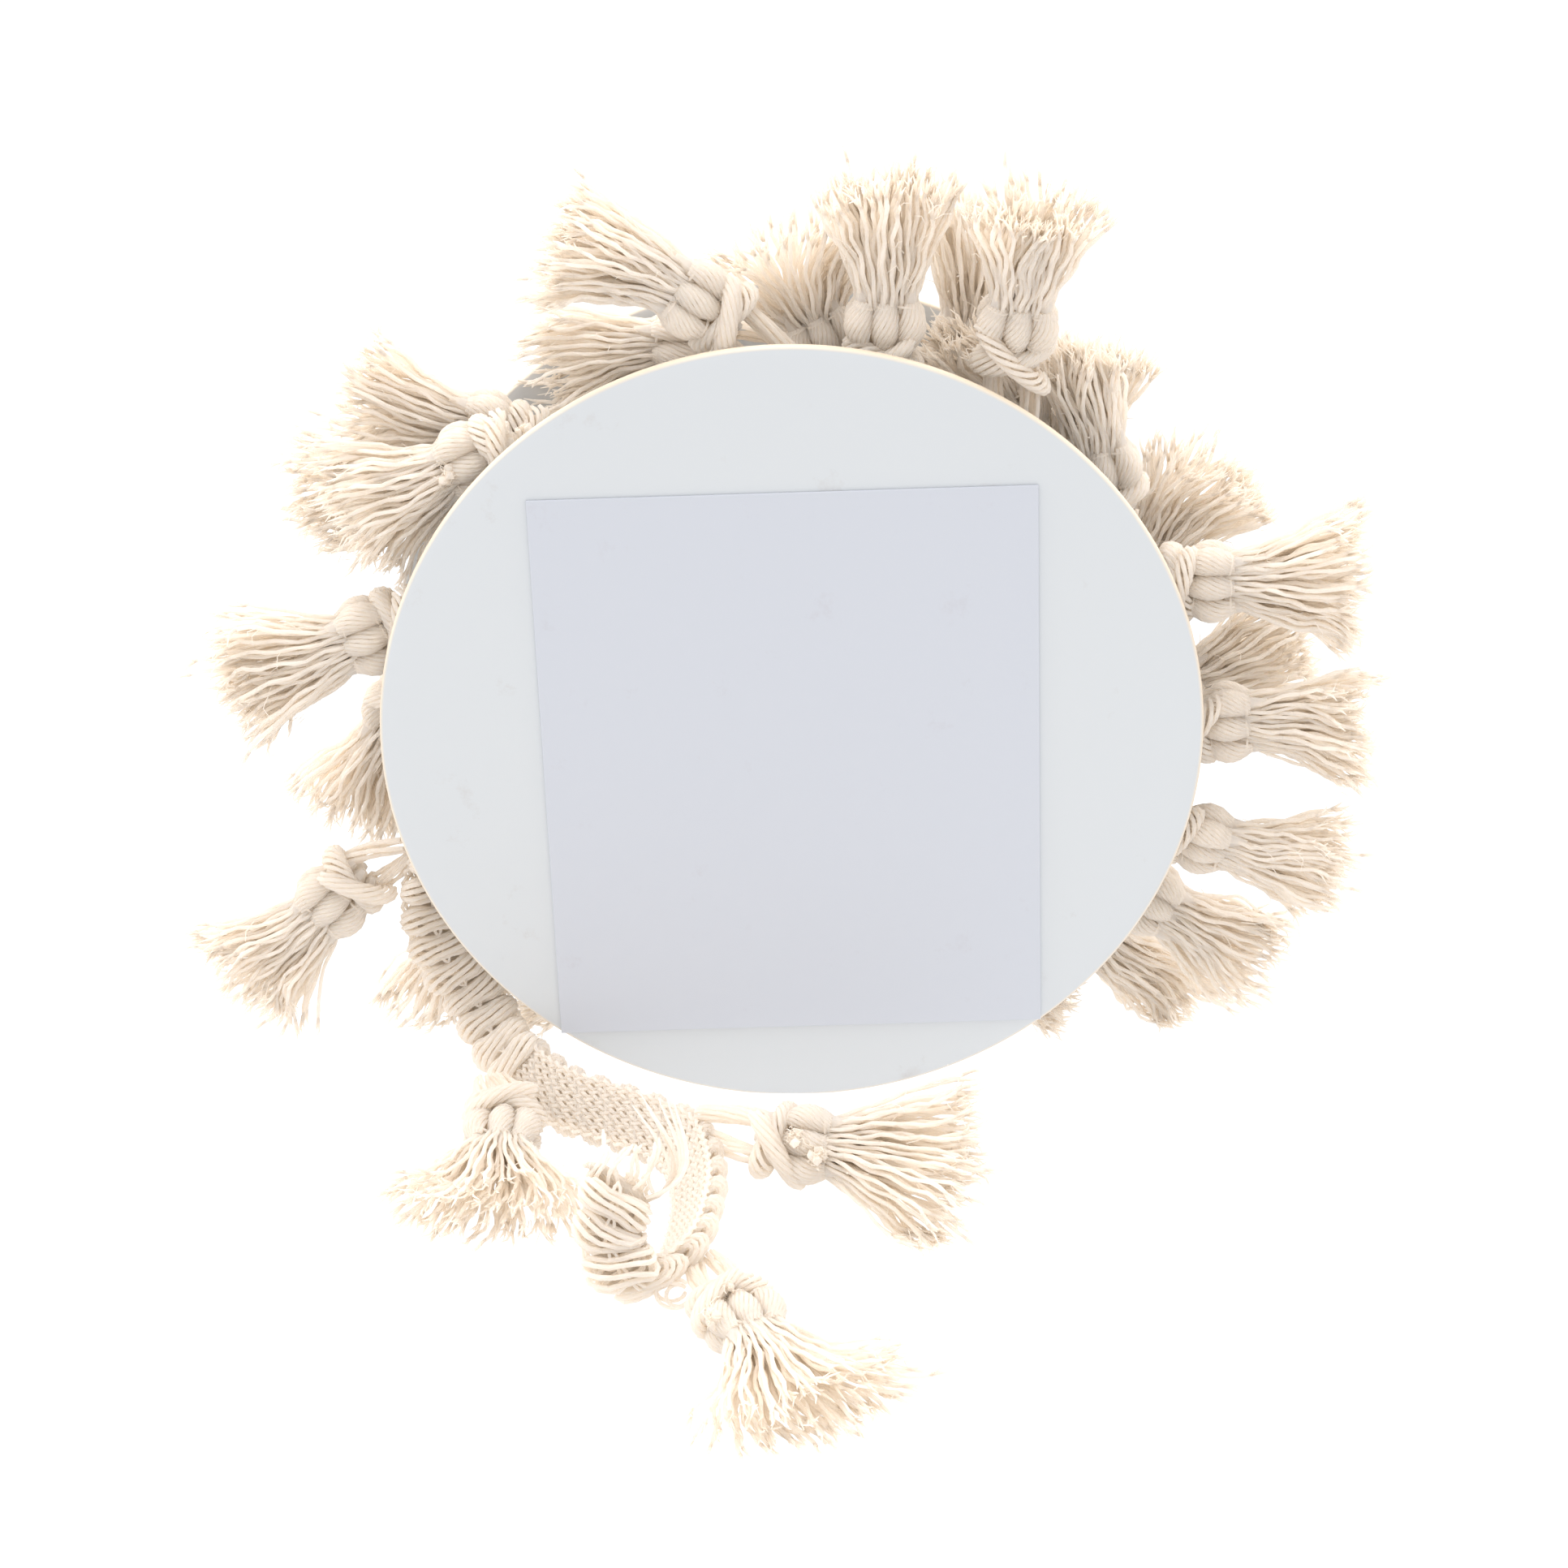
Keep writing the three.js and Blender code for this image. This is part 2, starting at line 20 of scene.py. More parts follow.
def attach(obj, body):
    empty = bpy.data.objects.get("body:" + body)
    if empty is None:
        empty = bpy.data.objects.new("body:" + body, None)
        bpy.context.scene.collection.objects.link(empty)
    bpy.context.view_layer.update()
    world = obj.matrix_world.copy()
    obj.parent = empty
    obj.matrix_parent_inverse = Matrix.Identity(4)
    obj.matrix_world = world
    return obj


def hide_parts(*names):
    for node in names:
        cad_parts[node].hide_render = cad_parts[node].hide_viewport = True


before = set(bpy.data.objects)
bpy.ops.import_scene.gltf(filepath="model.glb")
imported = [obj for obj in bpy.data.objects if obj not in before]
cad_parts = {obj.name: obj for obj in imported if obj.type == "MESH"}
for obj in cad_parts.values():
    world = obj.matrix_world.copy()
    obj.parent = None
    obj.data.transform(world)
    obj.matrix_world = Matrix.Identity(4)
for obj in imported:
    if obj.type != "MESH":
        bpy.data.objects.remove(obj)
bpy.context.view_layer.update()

logging.basicConfig(level=logging.INFO, format="%(message)s")
LOG = logging.getLogger("tassel_fringe")

METRES = 0.001
BODY = "root"

# Reel, with the middle of the channel set back from the near flange
CHANNEL_MIDDLE = 9.25
FLANGE_RADIUS = 38.1
AXLE_HEIGHT = 37.85
INNER_FACE = 8.75
OUTER_FACE = 9.75
HUB_RADIUS = 13.0

# Wound roll
ROLL_RADIUS = 31.0
ROLL_EXIT_DEG = 178.0
FIT_GAP = 0.3

# Heading
HEADING_WIDTH = 7.4
HEADING_THICKNESS = 2.5
PICOT_PITCH = 3.05

# Parts of a tassel
NECK_LENGTH = 5.3
KNOT_LENGTH = 2.5
HEAD_LENGTH = 3.4
LAYER_SPREAD_DEG = 9.0

# Half widths of yarns and threads
SKIRT_YARN = 0.215
HEAD_YARN = 0.24
GIMP_YARN = 0.265
KNIT_YARN = 0.2
LOOSE_YARN = 0.2
TIE_THREAD = 0.13
STITCH_THREAD = 0.17

# Turn between neighbours that fills a disc evenly, in radians
GOLDEN_TURN = 2.39996

# Seed of the slow noise that bends the yarns of a tassel alike
NOISE_SEED = 1

# Setting of a node that mixes two colours
COLOURS = {"data_type": "RGBA"}


def linear(hex_colour: str) -> tuple[float, float, float, float]:
    """Turns an sRGB hex colour into linear light.

    Args:
        hex_colour: Six hex digits, such as "f4e6cd".

    Returns:
        Red, green, blue and alpha for a colour socket.
    """
    parts = [int(hex_colour[start:start + 2], 16) / 255 for start in (0, 2, 4)]
    light = [c / 12.92 if c <= 0.04045 else ((c + 0.055) / 1.055) ** 2.4 for c in parts]
    return (light[0], light[1], light[2], 1.0)


def add_node(material: bpy.types.Material, kind: str, settings: dict | None = None,
             **inputs: object) -> bpy.types.Node:
    """Adds a node with its settings, values and links.

    Args:
        material: Material whose node tree grows.
        kind: Node type without its "ShaderNode" prefix.
        settings: Properties of the node itself.
        **inputs: Values or output sockets by input name, with underscores for spaces. A name that
            ends in a digit after two underscores gives the input's number.

    Returns:
        The new node.
    """
    tree = material.node_tree
    node = tree.nodes.new("ShaderNode" + kind)
    for key, value in (settings or {}).items():
        setattr(node, key, value)
    for key, value in inputs.items():
        number = key.rpartition("__")[2]
        socket = node.inputs[int(number)] if "__" in key else node.inputs[key.replace("_", " ")]
        if isinstance(value, bpy.types.NodeSocket):
            tree.links.new(value, socket)
        else:
            socket.default_value = value
    return node


def blank_material(name: str) -> bpy.types.Material:
    """Makes an empty node material.

    Args:
        name: Name of the finish.

    Returns:
        A material with no nodes.
    """
    material = bpy.data.materials.new(name)
    material.use_nodes = True
    material.node_tree.nodes.clear()
    return material


@dataclass(frozen=True)
class CottonFinish:
    """Ring-spun ecru cotton, undyed. Loose fibres scatter the light, so thin places go white, and light
    that has passed through many yarns comes out warm; yarns deep among others get painted warm shade.

    Attributes:
        name: Name of the finish.
        pale: Colour of the palest yarns.
        warm: Colour of the warmest yarns.
        tip: Colour at a strand's cut end.
        tip_from: Share of the strand's length where the tip's colour starts.
        glow: Share of light that passes through.
        deep: Tint of the light that has passed through.
        cavity_shade: Painted shade, a warmer and darker colour for yarns deep among others.
        fuzz: Depth of the fibre relief, in metres.
    """

    name: str
    pale: str
    warm: str
    tip: str
    tip_from: float = 0.7
    glow: float = 0.3
    deep: str = "fffaf3"
    cavity_shade: str = "fff6ea"
    fuzz: float = 0.00008

    def material(self) -> bpy.types.Material:
        """Builds the node material.

        Returns:
            The finished material.
        """
        made = blank_material(self.name)
        place = add_node(made, "TexCoord")
        each = add_node(made, "NewGeometry")
        along = add_node(made, "SeparateXYZ", None, Vector=place.outputs["UV"])
        # Yarns of one spinning differ a little, and each changes over a few millimetres
        cloudy = add_node(made, "TexNoise", None, Vector=place.outputs["Object"], Scale=260.0, Detail=2.0)
        blend = add_node(made, "Math", {"operation": "MULTIPLY_ADD"}, __0=each.outputs["Random Per Island"],
                         __1=0.55, __2=cloudy.outputs["Fac"])
        tone = add_node(made, "MapRange", None, Value=blend.outputs[0], From_Min=0.3, From_Max=1.2)
        yarn = add_node(made, "Mix", COLOURS, __0=tone.outputs[0], __6=linear(self.pale),
                        __7=linear(self.warm))
        near_tip = add_node(made, "MapRange", None, Value=along.outputs[0], From_Min=self.tip_from,
                            From_Max=1.0)
        whole = add_node(made, "Mix", COLOURS, __0=near_tip.outputs[0], __6=yarn.outputs[2],
                         __7=linear(self.tip))
        # Painted shade: yarns deep among others, where ambient occlusion finds neighbours, take a warmer,
        # darker colour
        open_air = add_node(made, "AmbientOcclusion", {"samples": 1, "only_local": True}, Distance=0.004)
        painted_shade_mask = add_node(made, "MapRange", None, Value=open_air.outputs["AO"], From_Min=0.55, From_Max=0.05)
        colour = add_node(made, "Mix", COLOURS, __0=painted_shade_mask.outputs[0], __6=whole.outputs[2],
                          __7=linear(self.cavity_shade))
        # Fibres of about 0.2 mm, drawn coarser than the real 0.02 mm so that they show
        fibres = add_node(made, "TexNoise", None, Vector=place.outputs["Object"], Scale=5200.0, Detail=3.0)
        relief = add_node(made, "Bump", None, Strength=0.5, Distance=self.fuzz, Height=fibres.outputs["Fac"])
        front = add_node(made, "BsdfPrincipled", None, Base_Color=colour.outputs[2], Roughness=0.95,
                         IOR=1.45, Normal=relief.outputs[0], Sheen_Weight=0.5, Sheen_Roughness=0.6)
        through = add_node(made, "BsdfTranslucent", None, Color=linear(self.deep), Normal=relief.outputs[0])
        both = add_node(made, "MixShader", None, __0=self.glow, __1=front.outputs[0], __2=through.outputs[0])
        add_node(made, "OutputMaterial", None, Surface=both.outputs[0])
        return made


@dataclass(frozen=True)
class MouldedPlasticFinish:
    """White polystyrene, injection moulded, half matt. The thin rim is painted a warm glow for light from
    behind.

    Attributes:
        name: Name of the finish.
        face: Colour of the flange.
        rim: Painted warm glow of the outermost millimetre, standing for light from behind.
        smudge: Colour of handling marks.
    """

    name: str
    face: str
    rim: str
    smudge: str

    def material(self) -> bpy.types.Material:
        """Builds the node material.

        Returns:
            The finished material.
        """
        made = blank_material(self.name)
        place = add_node(made, "TexCoord")
        centred = add_node(made, "Mapping", None, Vector=place.outputs["Object"],
                           Location=(0.0, 0.0, -AXLE_HEIGHT * METRES), Scale=(1.0, 0.0, 1.0))
        reach = add_node(made, "VectorMath", {"operation": "LENGTH"}, __0=centred.outputs[0])
        # Painted light: the outermost rim takes a warm colour that stands for light from behind showing
        # through it
        rim_glow_mask = add_node(made, "MapRange", None, Value=reach.outputs["Value"],
                          From_Min=(FLANGE_RADIUS - 0.35) * METRES, From_Max=(FLANGE_RADIUS - 0.05) * METRES)
        # Handling marks of 5 to 10 mm, faint and rare
        marks = add_node(made, "TexNoise", None, Vector=place.outputs["Object"], Scale=140.0, Detail=6.0,
                         Roughness=0.7)
        rare = add_node(made, "MapRange", None, Value=marks.outputs["Fac"], From_Min=0.62, From_Max=0.9,
                        To_Max=0.6)
        soiled = add_node(made, "Mix", COLOURS, __0=rare.outputs[0], __6=linear(self.face),
                          __7=linear(self.smudge))
        colour = add_node(made, "Mix", COLOURS, __0=rim_glow_mask.outputs[0], __6=soiled.outputs[2],
                          __7=linear(self.rim))
        # Grain of the mould, drawn at about 0.3 mm so that it shows
        grain = add_node(made, "TexNoise", None, Vector=place.outputs["Object"], Scale=3000.0, Detail=2.0)
        relief = add_node(made, "Bump", None, Strength=0.12, Distance=0.00002, Height=grain.outputs["Fac"])
        gloss = add_node(made, "MapRange", None, Value=marks.outputs["Fac"], To_Min=0.42, To_Max=0.6)
        shader = add_node(made, "BsdfPrincipled", None, Base_Color=colour.outputs[2],
                          Roughness=gloss.outputs[0], IOR=1.5, Normal=relief.outputs[0])
        add_node(made, "OutputMaterial", None, Surface=shader.outputs[0])
        return made


@dataclass(frozen=True)
class PaperFinish:
    """Bleached label paper, coated and a little bluish, with faint scuffs.

    Attributes:
        name: Name of the finish.
        sheet: Colour of the paper.
        scuff: Colour of the scuffs.
    """

    name: str
    sheet: str
    scuff: str

    def material(self) -> bpy.types.Material:
        """Builds the node material.

        Returns:
            The finished material.
        """
        made = blank_material(self.name)
        place = add_node(made, "TexCoord")
        # Pulp shows as a grain of about half a millimetre, scuffs as clouds of about 6 mm
        pulp = add_node(made, "TexNoise", None, Vector=place.outputs["Object"], Scale=1800.0, Detail=4.0)
        worn = add_node(made, "TexNoise", None, Vector=place.outputs["Object"], Scale=170.0, Detail=8.0,
                        Roughness=0.75)
        rare = add_node(made, "MapRange", None, Value=worn.outputs["Fac"], From_Min=0.6, From_Max=0.85,
                        To_Max=0.5)
        colour = add_node(made, "Mix", COLOURS, __0=rare.outputs[0], __6=linear(self.sheet),
                          __7=linear(self.scuff))
        relief = add_node(made, "Bump", None, Strength=0.2, Distance=0.00003, Height=pulp.outputs["Fac"])
        shader = add_node(made, "BsdfPrincipled", None, Base_Color=colour.outputs[2], Roughness=0.55,
                          IOR=1.45, Normal=relief.outputs[0])
        add_node(made, "OutputMaterial", None, Surface=shader.outputs[0])
        return made


@dataclass(frozen=True)
class SeedFinish:
    """Crushed cotton seed coat, dark and dull.

    Attributes:
        name: Name of the finish.
        husk: Colour of the outside.
        kernel: Colour of the broken face.
    """

    name: str
    husk: str
    kernel: str

    def material(self) -> bpy.types.Material:
        """Builds the node material.

        Returns:
            The finished material.
        """
        made = blank_material(self.name)
        place = add_node(made, "TexCoord")
        mottle = add_node(made, "TexNoise", None, Vector=place.outputs["Object"], Scale=6000.0)
        colour = add_node(made, "Mix", COLOURS, __0=mottle.outputs["Fac"], __6=linear(self.husk),
                          __7=linear(self.kernel))
        shader = add_node(made, "BsdfPrincipled", None, Base_Color=colour.outputs[2], Roughness=0.7)
        add_node(made, "OutputMaterial", None, Surface=shader.outputs[0])
        return made


class Yarn(Enum):
    """Kinds of yarn in a piece, by material slot."""

    SKIRT = 0
    HEAD = 1
    TIE = 2
    FRAY = 3
    SEED = 4


class Section(Enum):
    """How round a strand is: the level of Blender's round bevel."""

    TWISTED = 0
    ROUND = 1


@dataclass
class YarnWork:
    """Strands that become one mesh.

    Attributes:
        splines: Points, radii, kind and section of each strand, in millimetres.
    """

    splines: list[tuple[list[Vector], list[float], Yarn, Section]] = field(default_factory=list)

    def add(self, points: list[Vector], radius: float | list[float], kind: Yarn,
            section: Section = Section.TWISTED) -> None:
        """Adds a strand by its middle line, with one radius or one for each point."""
        radii = radius if isinstance(radius, list) else [radius] * len(points)
        self.splines.append((points, radii, kind, section))

    def mesh_of(self, section: Section) -> bpy.types.Mesh:
        """Turns the strands of one section into a mesh by Blender's curve bevel.

        Args:
            section: Section of the strands to take.

        Returns:
            A mesh in metres.
        """
        curve = bpy.data.curves.new("strands", "CURVE")
        curve.dimensions = "3D"
        curve.bevel_depth = METRES
        curve.bevel_resolution = section.value
        curve.use_fill_caps = True
        for points, radii, kind, its_section in self.splines:
            if its_section is not section:
                continue
            spline = curve.splines.new("POLY")
            spline.points.add(len(points) - 1)
            flat = [value for p in points for value in (p.x * METRES, p.y * METRES, p.z * METRES, 1.0)]
            spline.points.foreach_set("co", flat)
            spline.points.foreach_set("radius", radii)
            if section is Section.TWISTED:
                # A four-sided section turned at each point reads as two plies
                spline.points.foreach_set("tilt", [number * math.pi / 3.6 for number in range(len(points))])
            spline.material_index = kind.value
        for _ in Yarn:
            curve.materials.append(None)
        carrier = bpy.data.objects.new("strands", curve)
        bpy.context.scene.collection.objects.link(carrier)
        bpy.context.view_layer.update()
        mesh = bpy.data.meshes.new_from_object(carrier)
        bpy.data.objects.remove(carrier)
        bpy.data.curves.remove(curve)
        return mesh

    def build(self, name: str, materials: list[bpy.types.Material]) -> bpy.types.Object:
        """Makes one object of all strands.

        Args:
            name: Name of the piece.
            materials: Materials in the order of Yarn.

        Returns:
            The new object.
        """
        shape = bmesh.new()
        for section in Section:
            if any(spline[3] is section for spline in self.splines):
                part = self.mesh_of(section)
                shape.from_mesh(part)
                bpy.data.meshes.remove(part)
        # Faces are flat, so that a twisted square section catches the light as two plies do
        return object_from(shape, name, materials, smooth=False)


def object_from(shape: bmesh.types.BMesh, name: str, materials: list[bpy.types.Material],
                scale: float = 1.0, smooth: bool = True) -> bpy.types.Object:
    """Makes a shaded object of a bmesh and frees the bmesh.

    Args:
        shape: The shape.
        name: Name of the piece.
        materials: Its materials.
        scale: Factor that takes the shape to metres.
        smooth: Whether the light runs smoothly over its faces.

    Returns:
        The new object, at the origin.
    """
    if scale != 1.0:
        bmesh.ops.scale(shape, vec=(scale, scale, scale), verts=shape.verts)
    for face in shape.faces:
        face.smooth = smooth
    mesh = bpy.data.meshes.new(name)
    shape.to_mesh(mesh)
    shape.free()
    mesh.materials.clear()
    for material in materials:
        mesh.materials.append(material)
    made = bpy.data.objects.new(name, mesh)
    bpy.context.scene.collection.objects.link(made)
    return made


def turned(profile: list[tuple[float, float]], closed: bool, steps: int) -> bmesh.types.BMesh:
    """Turns a profile about the reel's axle.

    Args:
        profile: Radius of each corner, and its depth from the middle of the channel.
        closed: Whether the last corner joins the first.
        steps: Number of steps in the full turn.

    Returns:
        The turned shape, around the axle, whose normals are still to be worked out.
    """
    shape = bmesh.new()
    verts = [shape.verts.new((radius, depth, 0.0)) for radius, depth in profile]
    nexts = verts[1:] + verts[:1] if closed else verts[1:]
    edges = [shape.edges.new(pair) for pair in zip(verts, nexts)]
    bmesh.ops.spin(shape, geom=verts + edges, cent=(0, 0, 0), axis=(0, 1, 0), angle=2 * math.pi, steps=steps,
                   use_merge=True)
    bmesh.ops.remove_doubles(shape, verts=shape.verts, dist=0.0005)
    bmesh.ops.translate(shape, verts=shape.verts, vec=(0, CHANNEL_MIDDLE, AXLE_HEIGHT))
    return shape


def around_axle(radius: float, degrees: float, depth: float) -> Vector:
    """Point around the axle, with its angle counter-clockwise from +X as the label side shows it."""
    angle = math.radians(degrees)
    return Vector((radius * math.cos(angle), CHANNEL_MIDDLE + depth, AXLE_HEIGHT + radius * math.sin(angle)))


def pointing(degrees: float, fore_degrees: float) -> Vector:
    """Unit vector round the face of the reel, tilted towards the label side."""
    flat, angle = math.cos(math.radians(fore_degrees)), math.radians(degrees)
    return Vector((flat * math.cos(angle), -math.sin(math.radians(fore_degrees)), flat * math.sin(angle)))


def levelled(degrees: float, rise_degrees: float) -> Vector:
    """Unit vector round the surface, tilted up from level."""
    flat, angle = math.cos(math.radians(rise_degrees)), math.radians(degrees)
    return Vector((flat * math.cos(angle), flat * math.sin(angle), math.sin(math.radians(rise_degrees))))


def clear_of_reel(point: Vector) -> Vector:
    """Keeps a strand's point inside the channel where it is lower than the rim, and off the surface.

    Args:
        point: Wanted place.

    Returns:
        Allowed place.
    """
    reach = math.hypot(point.x, point.z - AXLE_HEIGHT)
    depth = point.y - CHANNEL_MIDDLE
    if reach < FLANGE_RADIUS + 0.5 and abs(depth) < OUTER_FACE + 0.6:
        room = INNER_FACE - 0.4
        depth = max(-room, min(room, depth))
    return Vector((point.x, CHANNEL_MIDDLE + depth, max(point.z, 0.3)))


@dataclass
class Axes:
    """Directions of a tassel: along it, across its flat side, and through its thickness."""

    along: Vector
    wide: Vector
    thick: Vector

    @classmethod
    def of(cls, along: Vector, through: Vector, turn_degrees: float) -> "Axes":
        """Builds the axes.

        Args:
            along: Way ahead.
            through: Way that is nearly through the thickness.
            turn_degrees: Roll about the way ahead.

        Returns:
            The axes.
        """
        side = through.cross(along).normalized()
        wide = Matrix.Rotation(math.radians(turn_degrees), 3, along) @ side
        return cls(along, wide, along.cross(wide).normalized())

    def point(self, centre: Vector, across: float, through: float, ahead: float = 0.0) -> Vector:
        """Point by its distances along the three axes."""
        return centre + self.wide * across + self.thick * through + self.along * ahead


@dataclass
class Tassel:
    """A tassel of knotted cotton yarn.

    Attributes:
        name: Name of the node it stands for.
        root: Where its neck leaves the heading.
        neck_way: Way of the neck.
        head_way: Way of knot, head and skirt.
        through: Way that is nearly through its thickness.
        fan: Half spread of the skirt, in degrees.
        neck: Length of the neck.
        turn: Roll of the flat head about its axis, in degrees.
        skirt: Length of the skirt.
        sag: Bend of the skirt, in degrees.
        yarns: Number of yarns in the skirt.
        anchor: How much further back in the heading the neck is anchored.
        lint: Places of lint on the head: share of its length, and angle from the side that faces up
            and to the front, in degrees.
        KNOT_HALF: Half width and half thickness of the bundle in the knot.
        LOBE_HALF: Furthest middle of a lobe of the head, across and through.
        LOBES: Middle of each lobe.
        LOBE_YARNS: Yarns round each lobe.
        LOBE_YARN: Half width of such a yarn.
        CORE: Inside of a lobe: place ahead of the knot's start, share of the lobe's distance, and
            radius.
        GROUP_YARNS: Yarns in each half of the neck and in the knot's rope.
        TIE_RING: Radius of a tie's ring.
        SKIRT_FOOT: Half width and half thickness of the skirt where it starts.
        STRAND_STEP: Distance between two points of a skirt yarn.
        LOCKS: Soft locks in the skirt.
        FUZZ: Single fibres that stand off the skirt.
        SEED_EVERY: Fibres to one speck of seed coat.
    """

    name: str
    root: Vector
    neck_way: Vector
    head_way: Vector
    through: Vector
    fan: float
    neck: float = NECK_LENGTH
    turn: float = 0.0
    skirt: float = 11.0
    sag: float = 0.0
    yarns: int = 130
    anchor: float = 0.0
    lint: tuple[tuple[float, float], ...] = ()

    KNOT_HALF: tuple[float, float] = (2.9, 1.8)
    LOBE_HALF: tuple[float, float] = (2.35, 1.2)
    LOBES: tuple[tuple[float, float], ...] = ((-2.35, -0.95), (0.0, -1.2), (2.35, -0.95), (2.35, 0.95),
                                              (0.0, 1.2), (-2.35, 0.95))
    LOBE_YARNS: int = 16
    LOBE_YARN: float = 0.215
    CORE: tuple[tuple[float, float, float], ...] = ((-0.6, 0.5, 0.4), (0.6, 0.7, 0.85), (2.4, 0.8, 0.8),
                                                    (4.2, 1.0, 1.05), (6.0, 0.86, 0.8), (8.0, 1.0, 0.3))
    GROUP_YARNS: int = 8
    TIE_RING: float = 0.98
    SKIRT_FOOT: tuple[float, float] = (2.5, 1.45)
    STRAND_STEP: float = 0.92
    LOCKS: int = 16
    FUZZ: int = 56
    SEED_EVERY: int = 28

    def __post_init__(self) -> None:
        """Works out the seed, the axes and the ties."""
        self.chance = random.Random(self.name)
        self.axes = Axes.of(self.head_way, self.through, self.turn)
        self.neck_axes = Axes.of(self.neck_way, self.through, self.turn)
        self.knot_start = self.root + self.neck_way * self.neck
        self.tie_one = self.knot_start + self.head_way * KNOT_LENGTH
        self.tie_two = self.tie_one + self.head_way * HEAD_LENGTH
        self.work = YarnWork()

    def lay(self, points: list[Vector], radius: float | list[float], kind: Yarn = Yarn.HEAD) -> None:
        """Adds a strand, kept clear of the reel."""
        self.work.add([clear_of_reel(p) for p in points], radius, kind)

    def side_facing(self, way: Vector) -> float:
        """Angle around the bundle of the side that faces a way, in radians."""
        return math.atan2(self.axes.thick.dot(way), self.axes.wide.dot(way))

    def outline(self, angle: float, share: float) -> tuple[float, float]:
        """Distances across and through of the head's outline, at an angle and a share of its length."""
        swell = math.sin(math.pi * min(max(share, 0.0), 1.0)) ** 0.7
        return (2.8 + 0.7 * swell) * math.cos(angle), (1.8 + 0.7 * swell) * math.sin(angle)

    def make_neck(self) -> None:
        """Two groups of yarn from the heading to the knot, spreading on their way."""
        for group in (-1, 1):
            for yarn in range(self.GROUP_YARNS):
                turn = 2 * math.pi * yarn / self.GROUP_YARNS + self.chance.uniform(-0.3, 0.3)
                bow = self.chance.uniform(0.2, 0.5)
                points = []
                for step in range(9):
                    share = step / 8
                    spread = group * (0.75 + 0.9 * share + bow * math.sin(math.pi * share))
                    local = 0.62 + 0.12 * math.sin(math.pi * share)
                    swirl = turn + 1.2 * share * group
                    ahead = (self.neck + 2.4 + self.anchor) * share - 1.6 - self.anchor
                    points.append(self.neck_axes.point(self.root, spread + local * math.cos(swirl),
                                                       local * 0.8 * math.sin(swirl), ahead))
                self.lay(points, HEAD_YARN)

    def make_core(self) -> None:
        """Inner yarns that fill the knot and each lobe of the head."""
        for across, through in self.LOBES:
            points = [self.axes.point(self.knot_start, across * width, through * width, ahead)
                      for ahead, width, _ in self.CORE]
            self.work.add(points, [radius for *_, radius in self.CORE], Yarn.HEAD, Section.ROUND)

    def make_rope(self, start: float, sweep: float, slant: float, out: float) -> None:
        """A rope of twisted yarn round the bundle, just ahead of the first tie.

        Args:
            start: Angle where it starts, in radians.
            sweep: Angle that it covers, in radians.
            slant: Rise of the rope across the bundle.
            out: Distance from the bundle.
        """
        half_width, half_thick = self.KNOT_HALF
        steps = round(32 * sweep / (2 * math.pi)) + 2
        phase = self.chance.uniform(0, 6.28)
        for yarn in range(self.GROUP_YARNS):
            points = []
            for step in range(steps + 1):
                share = step / steps
                angle = start + sweep * share
                twist = 2 * math.pi * yarn / self.GROUP_YARNS + 2.6 * angle
                # The rope swells where it crosses over and is thin where it dives in
                body = 0.74 + 0.2 * math.sin(2 * angle + phase) * (1 - out)
                reach = out + body * math.cos(twist) - 0.5 * (2 * share - 1) ** 4 * out
                across = (half_width + reach) * math.cos(angle)
                through = (half_thick + reach) * math.sin(angle)
                ahead = KNOT_LENGTH * 0.42 + 1.15 * body * math.sin(twist) + across * slant
                points.append(self.axes.point(self.knot_start, across, through, ahead))
            self.lay(points, HEAD_YARN)

    def make_knot(self) -> None:
        """A rope of yarn wraps the bundle aslant, and its end crosses over it."""
        lean = self.chance.choice((-1, 1))
        slant = math.tan(math.radians(self.chance.uniform(8, 18)))
        self.make_rope(0.0, 2 * math.pi, lean * slant, 0.0)
        front = self.side_facing(Vector((0, -1, 0.3)))
        self.make_rope(front - 1.2 + self.chance.uniform(-0.5, 0.5), self.chance.uniform(2.0, 2.7),
                       -lean * 2.6 * slant, 0.55)

    def make_head(self) -> None:
        """Yarns that swell out in lobes between the two ties. Those inside, between lobes, are left out."""
        for across, through in self.LOBES:
            twist = self.chance.uniform(1.3, 1.9)
            plump = self.chance.uniform(0.94, 1.06)
            outward = Vector((across / self.LOBE_HALF[0], through / self.LOBE_HALF[1])).normalized()
            for yarn in range(self.LOBE_YARNS):
                turn = 2 * math.pi * yarn / self.LOBE_YARNS
                if math.cos(turn + twist / 2) * outward.x + math.sin(turn + twist / 2) * outward.y < -0.62:
                    continue
                points = []
                for step in range(8):
                    share = -0.12 + 1.24 * step / 7
                    swell = math.sin(math.pi * min(max(share, 0.0), 1.0)) ** 0.55
                    reach = 0.74 + 0.42 * swell * plump
                    gather = 0.8 + 0.2 * swell
                    angle = turn + twist * share
                    points.append(self.axes.point(
                        self.tie_one, across * gather + reach * math.cos(angle),
                        through * gather + reach * math.sin(angle), HEAD_LENGTH * share))
                self.lay(points, self.LOBE_YARN)

    def make_tie(self, share: float) -> None:
        """White thread tied round each lobe of the head.

        Args:
            share: Place between the first and the second tie.
        """
        steps = 14
        for across, through in self.LOBES:
            lean_across, lean_through = self.chance.uniform(-0.2, 0.2), self.chance.uniform(-0.2, 0.2)
            points = []
            for step in range(steps + 1):
                angle = 2 * math.pi * step / steps
                side, face = self.TIE_RING * math.cos(angle), self.TIE_RING * math.sin(angle)
                ahead = HEAD_LENGTH * share + side * lean_across + face * lean_through
                points.append(self.axes.point(self.tie_one, across * 0.8 + side, through * 0.8 + face, ahead))
            self.lay(points, TIE_THREAD, Yarn.TIE)

